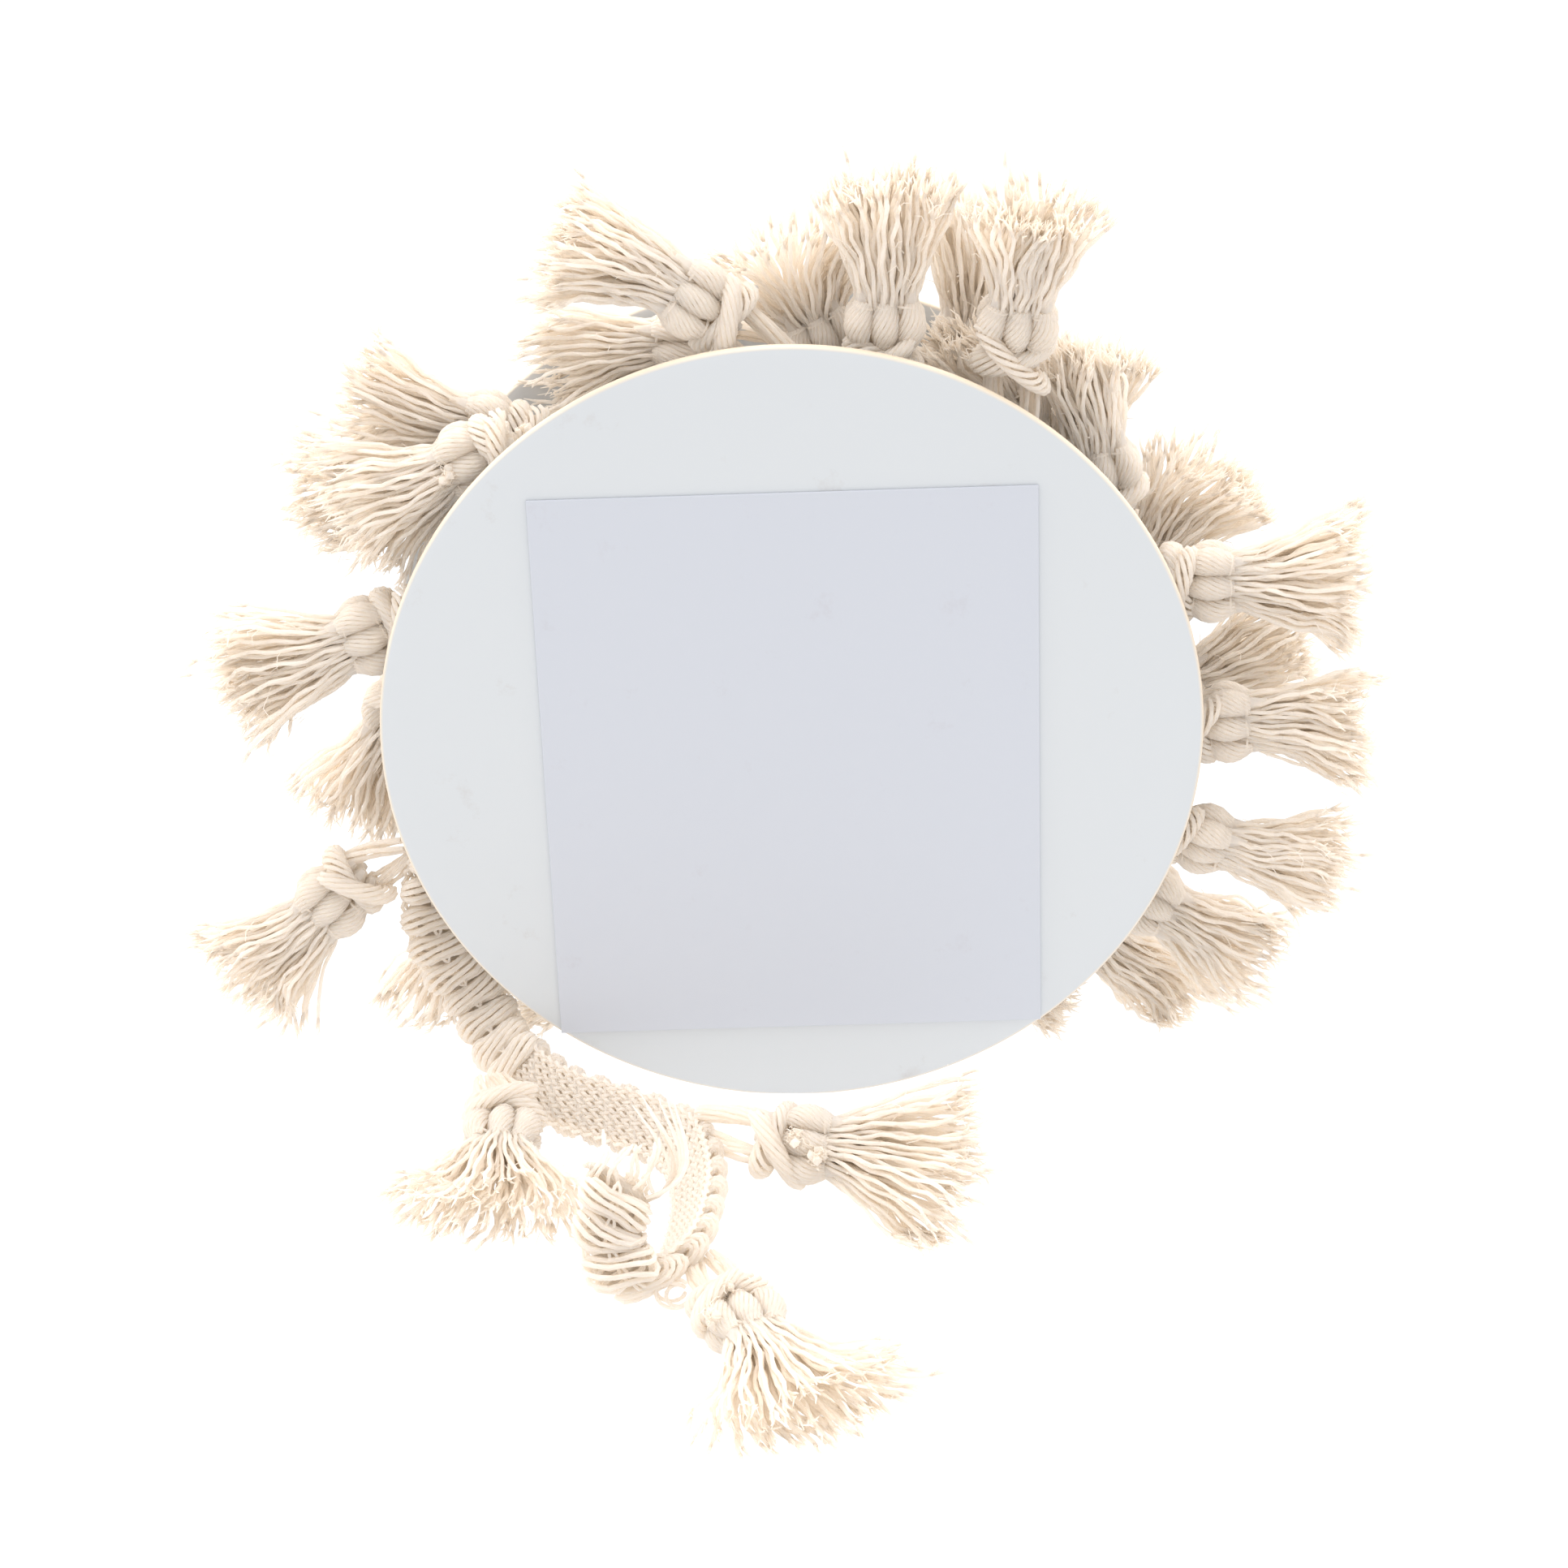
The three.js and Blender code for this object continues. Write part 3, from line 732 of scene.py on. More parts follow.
    def skirt_way(self, side: float, layer: float, share: float) -> Vector:
        """Way of a skirt strand, which fans out fast and then runs straight, as the solid's locks do.

        Args:
            side: Final spread across, in degrees.
            layer: Final spread through, in degrees.
            share: Share of the strand's length.

        Returns:
            Unit vector.
        """
        bend = math.radians(side * share ** 0.3 + self.sag * share)
        way = Matrix.Rotation(bend, 3, self.axes.thick) @ self.axes.along
        across = self.axes.thick.cross(way).normalized()
        return Matrix.Rotation(math.radians(-layer * share ** 0.3), 3, across) @ way

    def stray(self) -> Vector:
        """Uneven vector of about unit length."""
        return Vector((self.chance.gauss(0, 0.6), self.chance.gauss(0, 0.6), self.chance.gauss(0, 0.6)))

    def make_skirt(self) -> None:
        """Cut yarns that fan out of the second tie in soft locks, with frayed ends."""
        chance = self.chance
        locks = [(chance.uniform(-1, 1), chance.uniform(-1, 1)) for _ in range(self.LOCKS)]
        seed = Vector((chance.uniform(0, 90), chance.uniform(0, 90), chance.uniform(0, 90)))
        for number in range(self.yarns):
            ring = math.sqrt((number + 0.5) / self.yarns)
            across, through = ring * math.cos(number * GOLDEN_TURN), ring * math.sin(number * GOLDEN_TURN)
            lock = min(locks, key=lambda one: math.hypot(one[0] - across, one[1] - through))
            side = (across + 0.1 * (lock[0] - across)) * self.fan * 1.08 + chance.gauss(0, 1.8)
            layer = (through + 0.1 * (lock[1] - through)) * (LAYER_SPREAD_DEG + 6.0) + chance.gauss(0, 1.6)
            loose = chance.random() < 0.05
            longer = chance.uniform(1.08, 1.26) if loose else 1 + chance.gauss(0, 0.05)
            length = self.skirt * longer * (0.97 + 0.05 * math.sin(9 * lock[0] + 4 * lock[1])) - 0.8
            self.make_strand(across, through, (side, layer), length, seed, 2.2 if loose else 1.0)

    def make_strand(self, across: float, through: float, spread: tuple[float, float], length: float,
                    seed: Vector, slack: float) -> None:
        """One cut yarn of the skirt.

        Args:
            across: Place in the tie, from -1 to 1.
            through: Place in the tie, from -1 to 1.
            spread: Final spread across and through, in degrees.
            length: Length of the yarn.
            seed: Place in the noise that bends the tassel's yarns alike.
            slack: How far it strays from its neighbours.
        """
        chance = self.chance
        steps = max(8, round(length / self.STRAND_STEP))
        wide, thick = self.SKIRT_FOOT
        point = self.axes.point(self.tie_two, across * wide, through * thick, -0.5)
        phase, sway = chance.uniform(0, 6.28), chance.uniform(0.05, 0.17)
        own = Vector((chance.uniform(0, 90), chance.uniform(0, 90), 0))
        points = [point.copy()]
        for step in range(1, steps + 1):
            share = step / steps
            point = point + self.skirt_way(*spread, share) * (length + 0.5) / steps
            # Each yarn coils a little, bends with its neighbours and strays from them towards its end
            wave = phase + 5.2 * step * self.STRAND_STEP / 3.1
            together = noise.noise_vector(seed + Vector((across * 1.4, through * 1.4, share * 1.7)))
            alone = noise.noise_vector(own + Vector((share * 2.0, 0, 0)))
            wander = together * (2.0 * share ** 1.5) + alone * (0.55 * slack * share ** 1.4)
            bulge = math.sin(math.pi * min(1.0, share * 1.6)) * 0.4 * through
            swayed = self.axes.point(point + wander, sway * math.cos(wave), sway * math.sin(wave) + bulge)
            # Upper yarns rest on the lower ones where the skirt lies on the surface
            upper = 1 + through * (1 if self.axes.thick.z > 0 else -1)
            swayed.z = max(swayed.z, 0.3 + 0.8 * share * upper)
            points.append(clear_of_reel(swayed))
        thick = SKIRT_YARN * chance.uniform(0.85, 1.08)
        self.work.add(points, [thick] * (len(points) - 1) + [thick * 0.8], Yarn.SKIRT)
        self.make_fray(points[-1], (points[-1] - points[-3]).normalized())

    def make_fray(self, end: Vector, way: Vector) -> None:
        """Plies and fibres that come apart at a cut end.

        Args:
            end: End of the yarn.
            way: Way ahead.
        """
        for _ in range(3):
            stray = self.stray()
            out = (way + stray * 0.42).normalized()
            reach = self.chance.uniform(0.7, 2.1)
            middle = end + out * reach * 0.5
            tip = middle + (out + self.stray() * 0.5).normalized() * reach * 0.5
            self.lay([end - way * 0.4, middle, tip], [0.15, 0.11, 0.03], Yarn.FRAY)

    def make_fuzz(self) -> None:
        """Single fibres that stand off the skirt, and specks of seed coat caught among them."""
        chance = self.chance
        for number in range(self.FUZZ):
            across, through = chance.uniform(-1, 1), chance.choice((-1, 1)) * chance.uniform(0.6, 1)
            share = chance.uniform(0.1, 0.98)
            side = across * self.fan
            way = self.skirt_way(side, through * LAYER_SPREAD_DEG, share)
            start = self.axes.point(self.tie_two, across * 2.6, through * 1.5) + way * self.skirt * share
            stray = self.stray().normalized()
            reach = chance.uniform(1.0, 2.8)
            middle = start + (way + stray * 0.7).normalized() * reach * 0.5
            tip = middle + (way + stray * 1.4).normalized() * reach * 0.5
            self.lay([start, middle, tip], [0.045, 0.04, 0.02], Yarn.FRAY)
            if number % self.SEED_EVERY == 0:
                near = clear_of_reel(start + self.axes.thick * math.copysign(0.8, through))
                self.work.add([near, near + stray * 0.25], [0.08, 0.05], Yarn.SEED)

    def make_lint(self) -> None:
        """White balls of tangled fibre that cling to the head."""
        chance = self.chance
        level = self.side_facing(Vector((0.0, -0.75, 0.65)))
        for share, degrees in self.lint:
            across, through = self.outline(level + math.radians(degrees), share)
            centre = self.axes.point(self.tie_one, across * 1.12, through * 1.12, HEAD_LENGTH * share)
            for _ in range(5):
                start = centre + self.stray() * 0.5
                reach = self.stray() * 0.4
                self.work.add([start - reach, start, start + reach], [0.2, 0.6, 0.25], Yarn.TIE)
            for _ in range(40):
                start = centre + self.stray() * 0.6
                points = [start]
                for _ in range(3):
                    points.append(points[-1] + self.stray() * 0.4)
                self.work.add(points, [0.04, 0.06, 0.05, 0.02], Yarn.TIE)

    def build(self, materials: list[bpy.types.Material]) -> bpy.types.Object:
        """Makes the whole tassel and puts it in its solid's place.

        Args:
            materials: Materials in the order of Yarn.

        Returns:
            The finished piece.
        """
        self.make_neck()
        self.make_core()
        self.make_knot()
        self.make_head()
        self.make_tie(0.0)
        self.make_tie(1.0)
        self.make_skirt()
        self.make_fuzz()
        self.make_lint()
        made = self.work.build(self.name + "_yarn", materials)
        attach(made, BODY)
        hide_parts(self.name)
        LOG.info("%s: %d strands, %d faces", made.name, len(self.work.splines), len(made.data.polygons))
        return made


@dataclass(frozen=True)
class Row:
    """Row of tassels in the channel: depth of the roots, tilt towards the label side, roll of the flat
    heads, and how full the skirts are."""

    depth: float
    fore: float
    turn: float = 0.0
    yarns: int = 104


class Rows(Enum):
    """The rows in which tassels lie."""

    NEAR = Row(-5.2, 6, yarns=132)
    MIDDLE = Row(0.3, 0)
    REAR = Row(5.4, -3)
    FLOOR = Row(4.6, -3, 90)


def on_roll(number: int, row: Rows, at: float, lead: float, aim: float, fan: float, lift: float = 0.0,
            depth: float | None = None, fore: float | None = None, turn: float | None = None,
            **lengths: object) -> Tassel:
    """A tassel of the roll.

    Args:
        number: Its number, clockwise from the top left.
        row: The row it lies in.
        at: Place of the root around the roll, in degrees.
        lead: Way the neck runs, in degrees.
        aim: Way head and skirt point, in degrees.
        fan: Half spread of the skirt, in degrees.
        lift: How far the root stands off the roll.
        depth: Depth of the root, where it isn't the row's.
        fore: Tilt towards the label side, where it isn't the row's.
        turn: Roll of the head, where it isn't the row's.
        **lengths: Lengths, sag and lint that differ from the plain tassel's.

    Returns:
        The tassel.
    """
    depth = row.value.depth if depth is None else depth
    fore = row.value.fore if fore is None else fore
    turn = row.value.turn if turn is None else turn
    root = around_axle(ROLL_RADIUS + 2 * FIT_GAP + lift, at, depth)
    return Tassel(f"tassel_{number:02d}", root, pointing(lead, 0), pointing(aim, fore), Vector((0, 1, 0)),
                  fan, turn=turn, yarns=row.value.yarns, **lengths)


def on_tail(number: int, x: float, y: float, z: float, lead: float, rise: float, aim: float, pitch: float,
            fan: float, **lengths: object) -> Tassel:
    """A tassel of the loose end.

    Args:
        number: Its number from the roll.
        x: Place of the root.
        y: Place of the root, from the middle of the channel.
        z: Place of the root.
        lead: Way of the neck round the surface, in degrees.
        rise: How far the neck points above level.
        aim: Way of the head, in degrees.
        pitch: How far the head points above level.
        fan: Half spread of the skirt, in degrees.
        **lengths: Lengths, turn, sag and lint that differ from the plain tassel's.

    Returns:
        The tassel.
    """
    root = Vector((x, CHANNEL_MIDDLE + y, z))
    return Tassel(f"tail_tassel_{number}", root, levelled(lead, rise), levelled(aim, pitch),
                  Vector((0, 0, 1)), fan, **lengths)


def all_tassels() -> list[Tassel]:
    """The tassels that show, in the places that the solids have.

    Returns:
        The tassels of the roll and of the loose end.
    """
    near, middle, rear, floor = Rows.NEAR, Rows.MIDDLE, Rows.REAR, Rows.FLOOR
    return [
        on_roll(1, near, 86, 136, 145, 19, neck=10.4, turn=16, skirt=12.4, sag=-20),
        on_roll(2, rear, 92, 180, 182, 32, lift=1.4, depth=5.0, fore=0, skirt=10.8, sag=-18),
        on_roll(3, middle, 73, 160, 118, 66, lift=0.3, neck=4.6, skirt=9.4, sag=36, depth=0.2),
        on_roll(4, near, 71, 114, 88, 25, fore=0, sag=-8),
        on_roll(5, near, 50, 92, 84, 24, fore=16, lift=-0.5, neck=11.4, skirt=10.6),
        on_roll(6, middle, 38, 120, 124, 18, lift=0.6, skirt=8, depth=1.4),
        on_roll(7, near, 28, 70, 104, 12, depth=-2, fore=0, skirt=9.6, lift=-0.3),
        on_roll(8, rear, 2, 90, 70, 30, lift=0.6, sag=30),
        on_roll(9, near, 17, 46, 4, 28, neck=6.4, skirt=12, lift=-0.3, lint=((-0.5, 60),)),
        on_roll(10, near, 356, 14, 6, 22, sag=14, lift=-1, neck=6.3),
        on_roll(11, rear, 344, 62, 26, 26, lift=0.6, neck=6),
        on_roll(12, near, 340, 350, 348, 25, turn=30, lift=-1.4, neck=6.8),
        on_roll(13, middle, 328, 330, 328, 22, depth=-0.4, lift=-2.2, neck=7.4),
        on_roll(14, rear, 314, 322, 322, 20, lift=-1.5, neck=6.8),
        on_roll(15, middle, 127, 180, 163, 24, depth=0.9),
        on_roll(16, near, 137, 113, 208, 30, depth=-4.9, fore=0, neck=6.4, lint=((1.05, -30),)),
        on_roll(17, near, 166, 152, 201, 30, skirt=12, sag=4),
        on_roll(18, rear, 176, 206, 245, 28, lift=-0.6, neck=5.8),
        on_roll(19, near, 201, 206, 226, 30, lift=9.2, neck=3.4, sag=14),
        on_roll(20, rear, 212, 232, 250, 26, neck=8.4, lift=-2),
        on_roll(21, rear, 140, 170, 194, 27),
        on_roll(22, rear, 52, 130, 88, 24, lift=0.6, depth=5.8),
        on_roll(23, floor, 284, 330, 350, 26, lift=-1.4, neck=6.6, skirt=9),
        on_roll(24, floor, 261, 206, 186, 24, lift=-1.3, neck=6.5, skirt=10.4),
        on_roll(25, rear, 24, 118, 84, 20, lift=0.8, skirt=8),
        on_tail(1, -28.2, -16.0, 4.4, 290, 0, 268, -4, 50, neck=4.2, skirt=11.6),
        on_tail(2, -5.9, -26.6, 6.0, 322, 8, 346, 0, 40, neck=4.2, turn=56, skirt=13.1, sag=-14,
                anchor=2.2, lint=((0.25, 0), (0.9, 20))),
        on_tail(3, -7.4, -45.6, 3.4, 290, 0, 295, -4, 46, neck=4.6, skirt=13.1,
                lint=((-0.2, -10), (0.6, 30))),
    ]


@dataclass
class Route:
    """Way that a band follows, with the side its tassels hang from.

    Attributes:
        points: Points of the middle line.
        edges: Way to the edge with the tassels at each point.
    """

    points: list[Vector]
    edges: list[Vector]

    SAMPLES: int = 14

    def __post_init__(self) -> None:
        """Samples a smooth line through the points."""
        self.line, self.sides, self.reached = [], [], [0.0]
        last = len(self.points) - 1
        for span in range(last):
            for sample in range(self.SAMPLES + (span == last - 1)):
                share = sample / self.SAMPLES
                self.line.append(self.smooth(self.points, span, share))
                self.sides.append(self.smooth(self.edges, span, share))
        for number in range(1, len(self.line)):
            self.reached.append(self.reached[-1] + (self.line[number] - self.line[number - 1]).length)

    @staticmethod
    def smooth(values: list[Vector], span: int, share: float) -> Vector:
        """Value between two table rows, on a smooth curve through its neighbours.

        Args:
            values: Table values.
            span: Number of the row before.
            share: Share of the way to the next row.

        Returns:
            The value.
        """
        before, start = values[max(span - 1, 0)], values[span]
        end, after = values[span + 1], values[min(span + 2, len(values) - 1)]
        return 0.5 * (2 * start + (end - before) * share
                      + (2 * before - 5 * start + 4 * end - after) * share ** 2
                      + (3 * start - before - 3 * end + after) * share ** 3)

    @property
    def length(self) -> float:
        """Length of the middle line."""
        return self.reached[-1]

    def at(self, distance: float) -> tuple[Vector, Axes]:
        """Place and directions at a distance from the start.

        Args:
            distance: Distance along the middle line.

        Returns:
            The point, and axes whose wide is the tassel edge and whose thick is the face.
        """
        distance = min(max(distance, 0.0), self.length - 1e-6)
        high = bisect.bisect_right(self.reached, distance)
        low = high - 1
        share = (distance - self.reached[low]) / (self.reached[high] - self.reached[low])
        point = self.line[low].lerp(self.line[high], share)
        ahead = (self.line[high] - self.line[low]).normalized()
        side = self.sides[low].lerp(self.sides[high], share)
        edge = (side - ahead * side.dot(ahead)).normalized()
        return point, Axes(ahead, edge, ahead.cross(edge).normalized())


# Loose end of the heading, from the roll to its cut: place of the middle line, and way to its tassels
LOOSE_ROUTE = (
    (-30.1, -4.5, 38.0, 0.0, -1.0, 0.0),
    (-31.6, -4.5, 31.0, -0.1, -1.0, 0.0),
    (-33.6, -4.6, 25.0, -0.5, -0.85, -0.1),
    (-34.6, -4.8, 19.0, -0.85, -0.45, -0.1),
    (-33.5, -5.0, 13.0, -0.93, -0.2, -0.3),
    (-30.4, -5.4, 8.2, -0.88, -0.1, -0.45),
    (-28.0, -8.6, 5.2, -0.7, -0.1, -0.7),
    (-25.2, -13.2, 4.2, -0.45, -0.35, -0.8),
    (-21.6, -17.0, 3.7, -0.3, -0.55, -0.75),
    (-15.4, -20.6, 3.5, -0.35, -0.6, -0.7),
    (-10.6, -24.6, 3.6, -0.6, -0.35, -0.72),
    (-8.8, -31.6, 3.7, -0.66, 0.0, -0.75),
    (-9.0, -38.5, 3.7, -0.66, 0.0, -0.75),
    (-10.4, -44.6, 3.8, -0.7, 0.0, -0.7),
    (-13.6, -48.2, 4.2, -0.9, 0.0, -0.4),
    (-15.8, -47.6, 7.0, -1.0, 0.0, -0.1),
    (-15.4, -46.6, 10.4, -1.0, 0.0, 0.0),
    (-14.9, -45.8, 13.4, -1.0, 0.0, 0.0),
)


@dataclass
class GimpBand:
    """Gimp heading: a bundle of yarn wound across a ground, with a picot at each edge. Its front is
    fat, and its back is flat and closely knitted.

    Attributes:
        work: Strands made so far.
        yarns: Yarns in the bundle.
        flat_back: How much flatter the bundle is on the back.
        round_steps: Points on one turn round the ground.
        stitch_step: Distance between two points of a stitch.
        knit_step: Distance between two points of a knitted yarn.
        knit_lanes: Places across of the knitted rows on the back.
    """

    work: YarnWork
    yarns: int = 9
    flat_back: float = 0.45
    round_steps: int = 18
    stitch_step: float = 0.5
    knit_step: float = 0.3
    knit_lanes: tuple[float, ...] = (-2.4, -1.6, -0.8, 0.0, 0.8, 1.6, 2.4)

    def across_section(self, angle: float, lay: float, front: int = 1) -> tuple[float, float, float]:
        """Place of a yarn of the bundle as it goes round the band. The bundle is twisted like a rope,
        lies aslant on the face, and is drawn in by the stitches along the middle.

        Args:
            angle: Angle round the band's section, from the tassel edge over the face.
            lay: Place of the yarn round the bundle, in radians.
            front: Side that the fat front is on, 1 or -1.

        Returns:
            Distances across, through and ahead.
        """
        side, face = math.cos(angle), math.sin(angle)
        across = (HEADING_WIDTH / 2 - 1.25) * math.copysign(abs(side) ** 0.8, side)
        # The bundle is thinner at the stitches in the middle, where it turns at the edge, and on the back
        middle = math.exp(-(across / 0.7) ** 2)
        plump = (1 - 0.3 * middle) * (1 - 0.3 * abs(side) ** 8)
        if face * front < 0:
            plump *= 1 - self.flat_back * abs(face) ** 0.4
        turn = lay - 0.6 * front * angle
        out = plump * (0.55 + 0.6 * math.cos(turn))
        across += 0.75 * plump * math.cos(turn) * side + 0.2 * side
        ahead = plump * 1.3 * math.sin(turn) + (0.35 + 1.15 * front) * side
        return across, 0.3 * (front + face) + math.copysign(abs(face) ** 0.6, face) * out, ahead

    def wind(self, route: Route, start: float, end: float, front: int) -> None:
        """Winds the bundle round the ground from one distance to another.

        Args:
            route: Way of the band.
            start: Distance where it starts.
            end: Distance where it ends.
            front: Side that the fat front is on.
        """
        turns = round((end - start) / PICOT_PITCH)
        pitch = (end - start) / turns
        for yarn in range(self.yarns):
            lay = 2 * math.pi * yarn / self.yarns
            points = []
            for step in range(turns * self.round_steps + 1):
                angle = 2 * math.pi * step / self.round_steps
                across, through, ahead = self.across_section(angle, lay, front)
                centre, axes = route.at(start + pitch * step / self.round_steps + ahead)
                points.append(axes.point(centre, across, through))
            self.work.add(points, GIMP_YARN, Yarn.HEAD)

    def stitch(self, route: Route, start: float, end: float, front: int) -> None:
        """Stitches that draw the bundle in along the middle of the front, and the knitted back.

        Args:
            route: Way of the band.
            start: Distance where they start.
            end: Distance where they end.
            front: Side that the fat front is on.
        """
        steps = round((end - start) / self.stitch_step)
        for lane in (-1, 1):
            points = []
            for step in range(steps + 1):
                centre, axes = route.at(start + self.stitch_step * step)
                wave = math.sin(2 * math.pi * self.stitch_step * step / PICOT_PITCH)
                points.append(axes.point(centre, lane * 0.34 * wave, front * (1.05 + 0.2 * wave * wave)))
            self.work.add(points, STITCH_THREAD, Yarn.TIE)
        steps = round((end - start) / self.knit_step)
        for lane in self.knit_lanes:
            for leg in (-1, 1):
                points = []
                for step in range(steps + 1):
                    # Four points to a stitch, and each lane out of step with the next
                    wave = 2 * math.pi * (step / 4 + lane * 0.31)
                    centre, axes = route.at(start + self.knit_step * step + self.knit_step * leg)
                    across = lane + leg * (0.2 + 0.14 * math.cos(wave))
                    points.append(axes.point(centre, across, -front * (0.64 + 0.14 * math.sin(wave))))
                self.work.add(points, KNIT_YARN, Yarn.HEAD)


@dataclass
class LooseEnd:
    """Loose end of the heading, from the roll to its frayed cut.

    Attributes:
        materials: Materials in the order of Yarn.
        ground_half: Half width of the woven ground.
        ground_short: How far the ground stops before the end of the route.
        half_turn: Distance at which the band turns over.
        bare: Distance at each end that isn't wound.
    """

    materials: list[bpy.types.Material]
    ground_half: float = 1.9
    ground_short: float = 2.6
    half_turn: float = 41.0
    bare: float = 0.6

    def ground(self, route: Route) -> bpy.types.Object:
        """Woven ground of the band: a strip that follows the route.

        Args:
            route: Way of the band.

        Returns:
            The ground.
        """
        shape = bmesh.new()
        half = self.ground_half
        reach = route.length - self.ground_short
        # One row of points a millimetre
        stations = round(reach)
        edge = None
        for station in range(stations + 1):
            centre, axes = route.at(reach * station / stations)
            place = [axes.point(centre, across, 0.0) for across in (-half, -half / 2, 0.0, half / 2, half)]
            if edge is None:
                verts = [shape.verts.new(point) for point in place]
                edge = [shape.edges.new(pair) for pair in zip(verts, verts[1:])]
                row = verts
            else:
                grown = bmesh.ops.extrude_edge_only(shape, edges=edge)["geom"]
                new = {v for v in grown if isinstance(v, bmesh.types.BMVert)}
                row = [next(e.other_vert(v) for e in v.link_edges if e.other_vert(v) in new) for v in row]
                for vert, point in zip(row, place):
                    vert.co = point
                edge = [shape.edges.get(pair) for pair in zip(row, row[1:])]
        bmesh.ops.recalc_face_normals(shape, faces=shape.faces)
        bmesh.ops.solidify(shape, geom=shape.faces[:], thickness=0.2)
        made = object_from(shape, "heading_ground", [self.materials[Yarn.SKIRT.value]], METRES)
        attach(made, BODY)
        return made

    def cut_end(self, band: GimpBand, route: Route) -> None:
        """Yarns that come loose at the cut: short curls, and a bundle that springs out in a loop.

        Args:
            band: The band that they belong to.
            route: Its way.
        """
        chance = random.Random("cut end")
        centre, axes = route.at(route.length)
        for number in range(9):
            start = -3.1 + 5.4 * number / 8
            lean, curl = chance.uniform(-0.6, 0.5), chance.uniform(0.3, 0.8)
            reach, depth = chance.uniform(1.6, 3.4), chance.uniform(-0.5, 0.5)
            points = []
            for step in range(11):
                share = step / 10
                across = start + lean * reach * share + 0.35 * math.sin(5 * share + number)
                ahead = -1.4 + (reach + 1.4) * share
                points.append(axes.point(centre, across, depth + curl * math.sin(3.4 * share), ahead))
            band.work.add(points, [LOOSE_YARN] * 10 + [0.08], Yarn.FRAY)
        for number in range(7):
            swing, rise = 2.4 + 0.16 * number, 5.6 + chance.uniform(-0.7, 1.3)
            home = 0.2 + 0.52 * number + chance.uniform(-0.2, 0.2)
            points = []
            for step in range(15):
                share = step / 14
                loop = swing * math.sin(math.pi * share ** 0.8) * (1 - 0.4 * share)
                across = -2.6 - (home - 2.6) * share ** 2 - loop
                through = 0.16 * number - 0.5 + 0.2 * math.sin(4 * share + number)
                ahead = -2.6 + 0.1 * number + (rise + 2.6) * share
                points.append(axes.point(centre, across, through, ahead))
            band.work.add(points, [LOOSE_YARN] * 10 + [0.17, 0.14, 0.11, 0.08, 0.04], Yarn.FRAY)

    def slack_loops(self, band: GimpBand) -> None:
        """Loops of slack yarn beside the neck of the last tassel.

        Args:
            band: The band that they belong to.
        """
        middle = Vector((-10.6, CHANNEL_MIDDLE - 48.4, 2.6))
        for number, (size, lean) in enumerate(((1.25, 0.5), (1.6, 0.1), (1.0, -0.3))):
            points = []
            # Most of a circle, open at the neck
            for step in range(17):
                angle = 2 * math.pi * step / 16 * 0.86 + 0.8
                points.append(middle + Vector((size * math.cos(angle) + 0.3 * number,
                                               -0.7 * size * math.sin(angle) * lean,
                                               size * math.sin(angle) - 0.2 * number)))
            band.work.add(points, LOOSE_YARN, Yarn.SKIRT)

    def build(self) -> bpy.types.Object:
        """Makes the loose end.

        Returns:
            The wound yarns, which ride with the ground.
        """
        route = Route([Vector((x, CHANNEL_MIDDLE + y, z)) for x, y, z, *_ in LOOSE_ROUTE],
                      [Vector(row[3:]) for row in LOOSE_ROUTE])
        ground = self.ground(route)
        band = GimpBand(YarnWork())
        # The fat front changes sides at the half turn
        last = route.length - self.bare
        for start, end, front in ((self.bare, self.half_turn, -1), (self.half_turn, last, 1)):
            band.wind(route, start, end, front)
            band.stitch(route, start, end, front)
        self.cut_end(band, route)
        self.slack_loops(band)
        made = band.work.build("loose_heading_yarn", self.materials)
        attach(made, BODY)
        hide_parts("loose_heading")
        LOG.info("loose heading: %.1f mm long, %d faces", route.length, len(made.data.polygons))
        return made


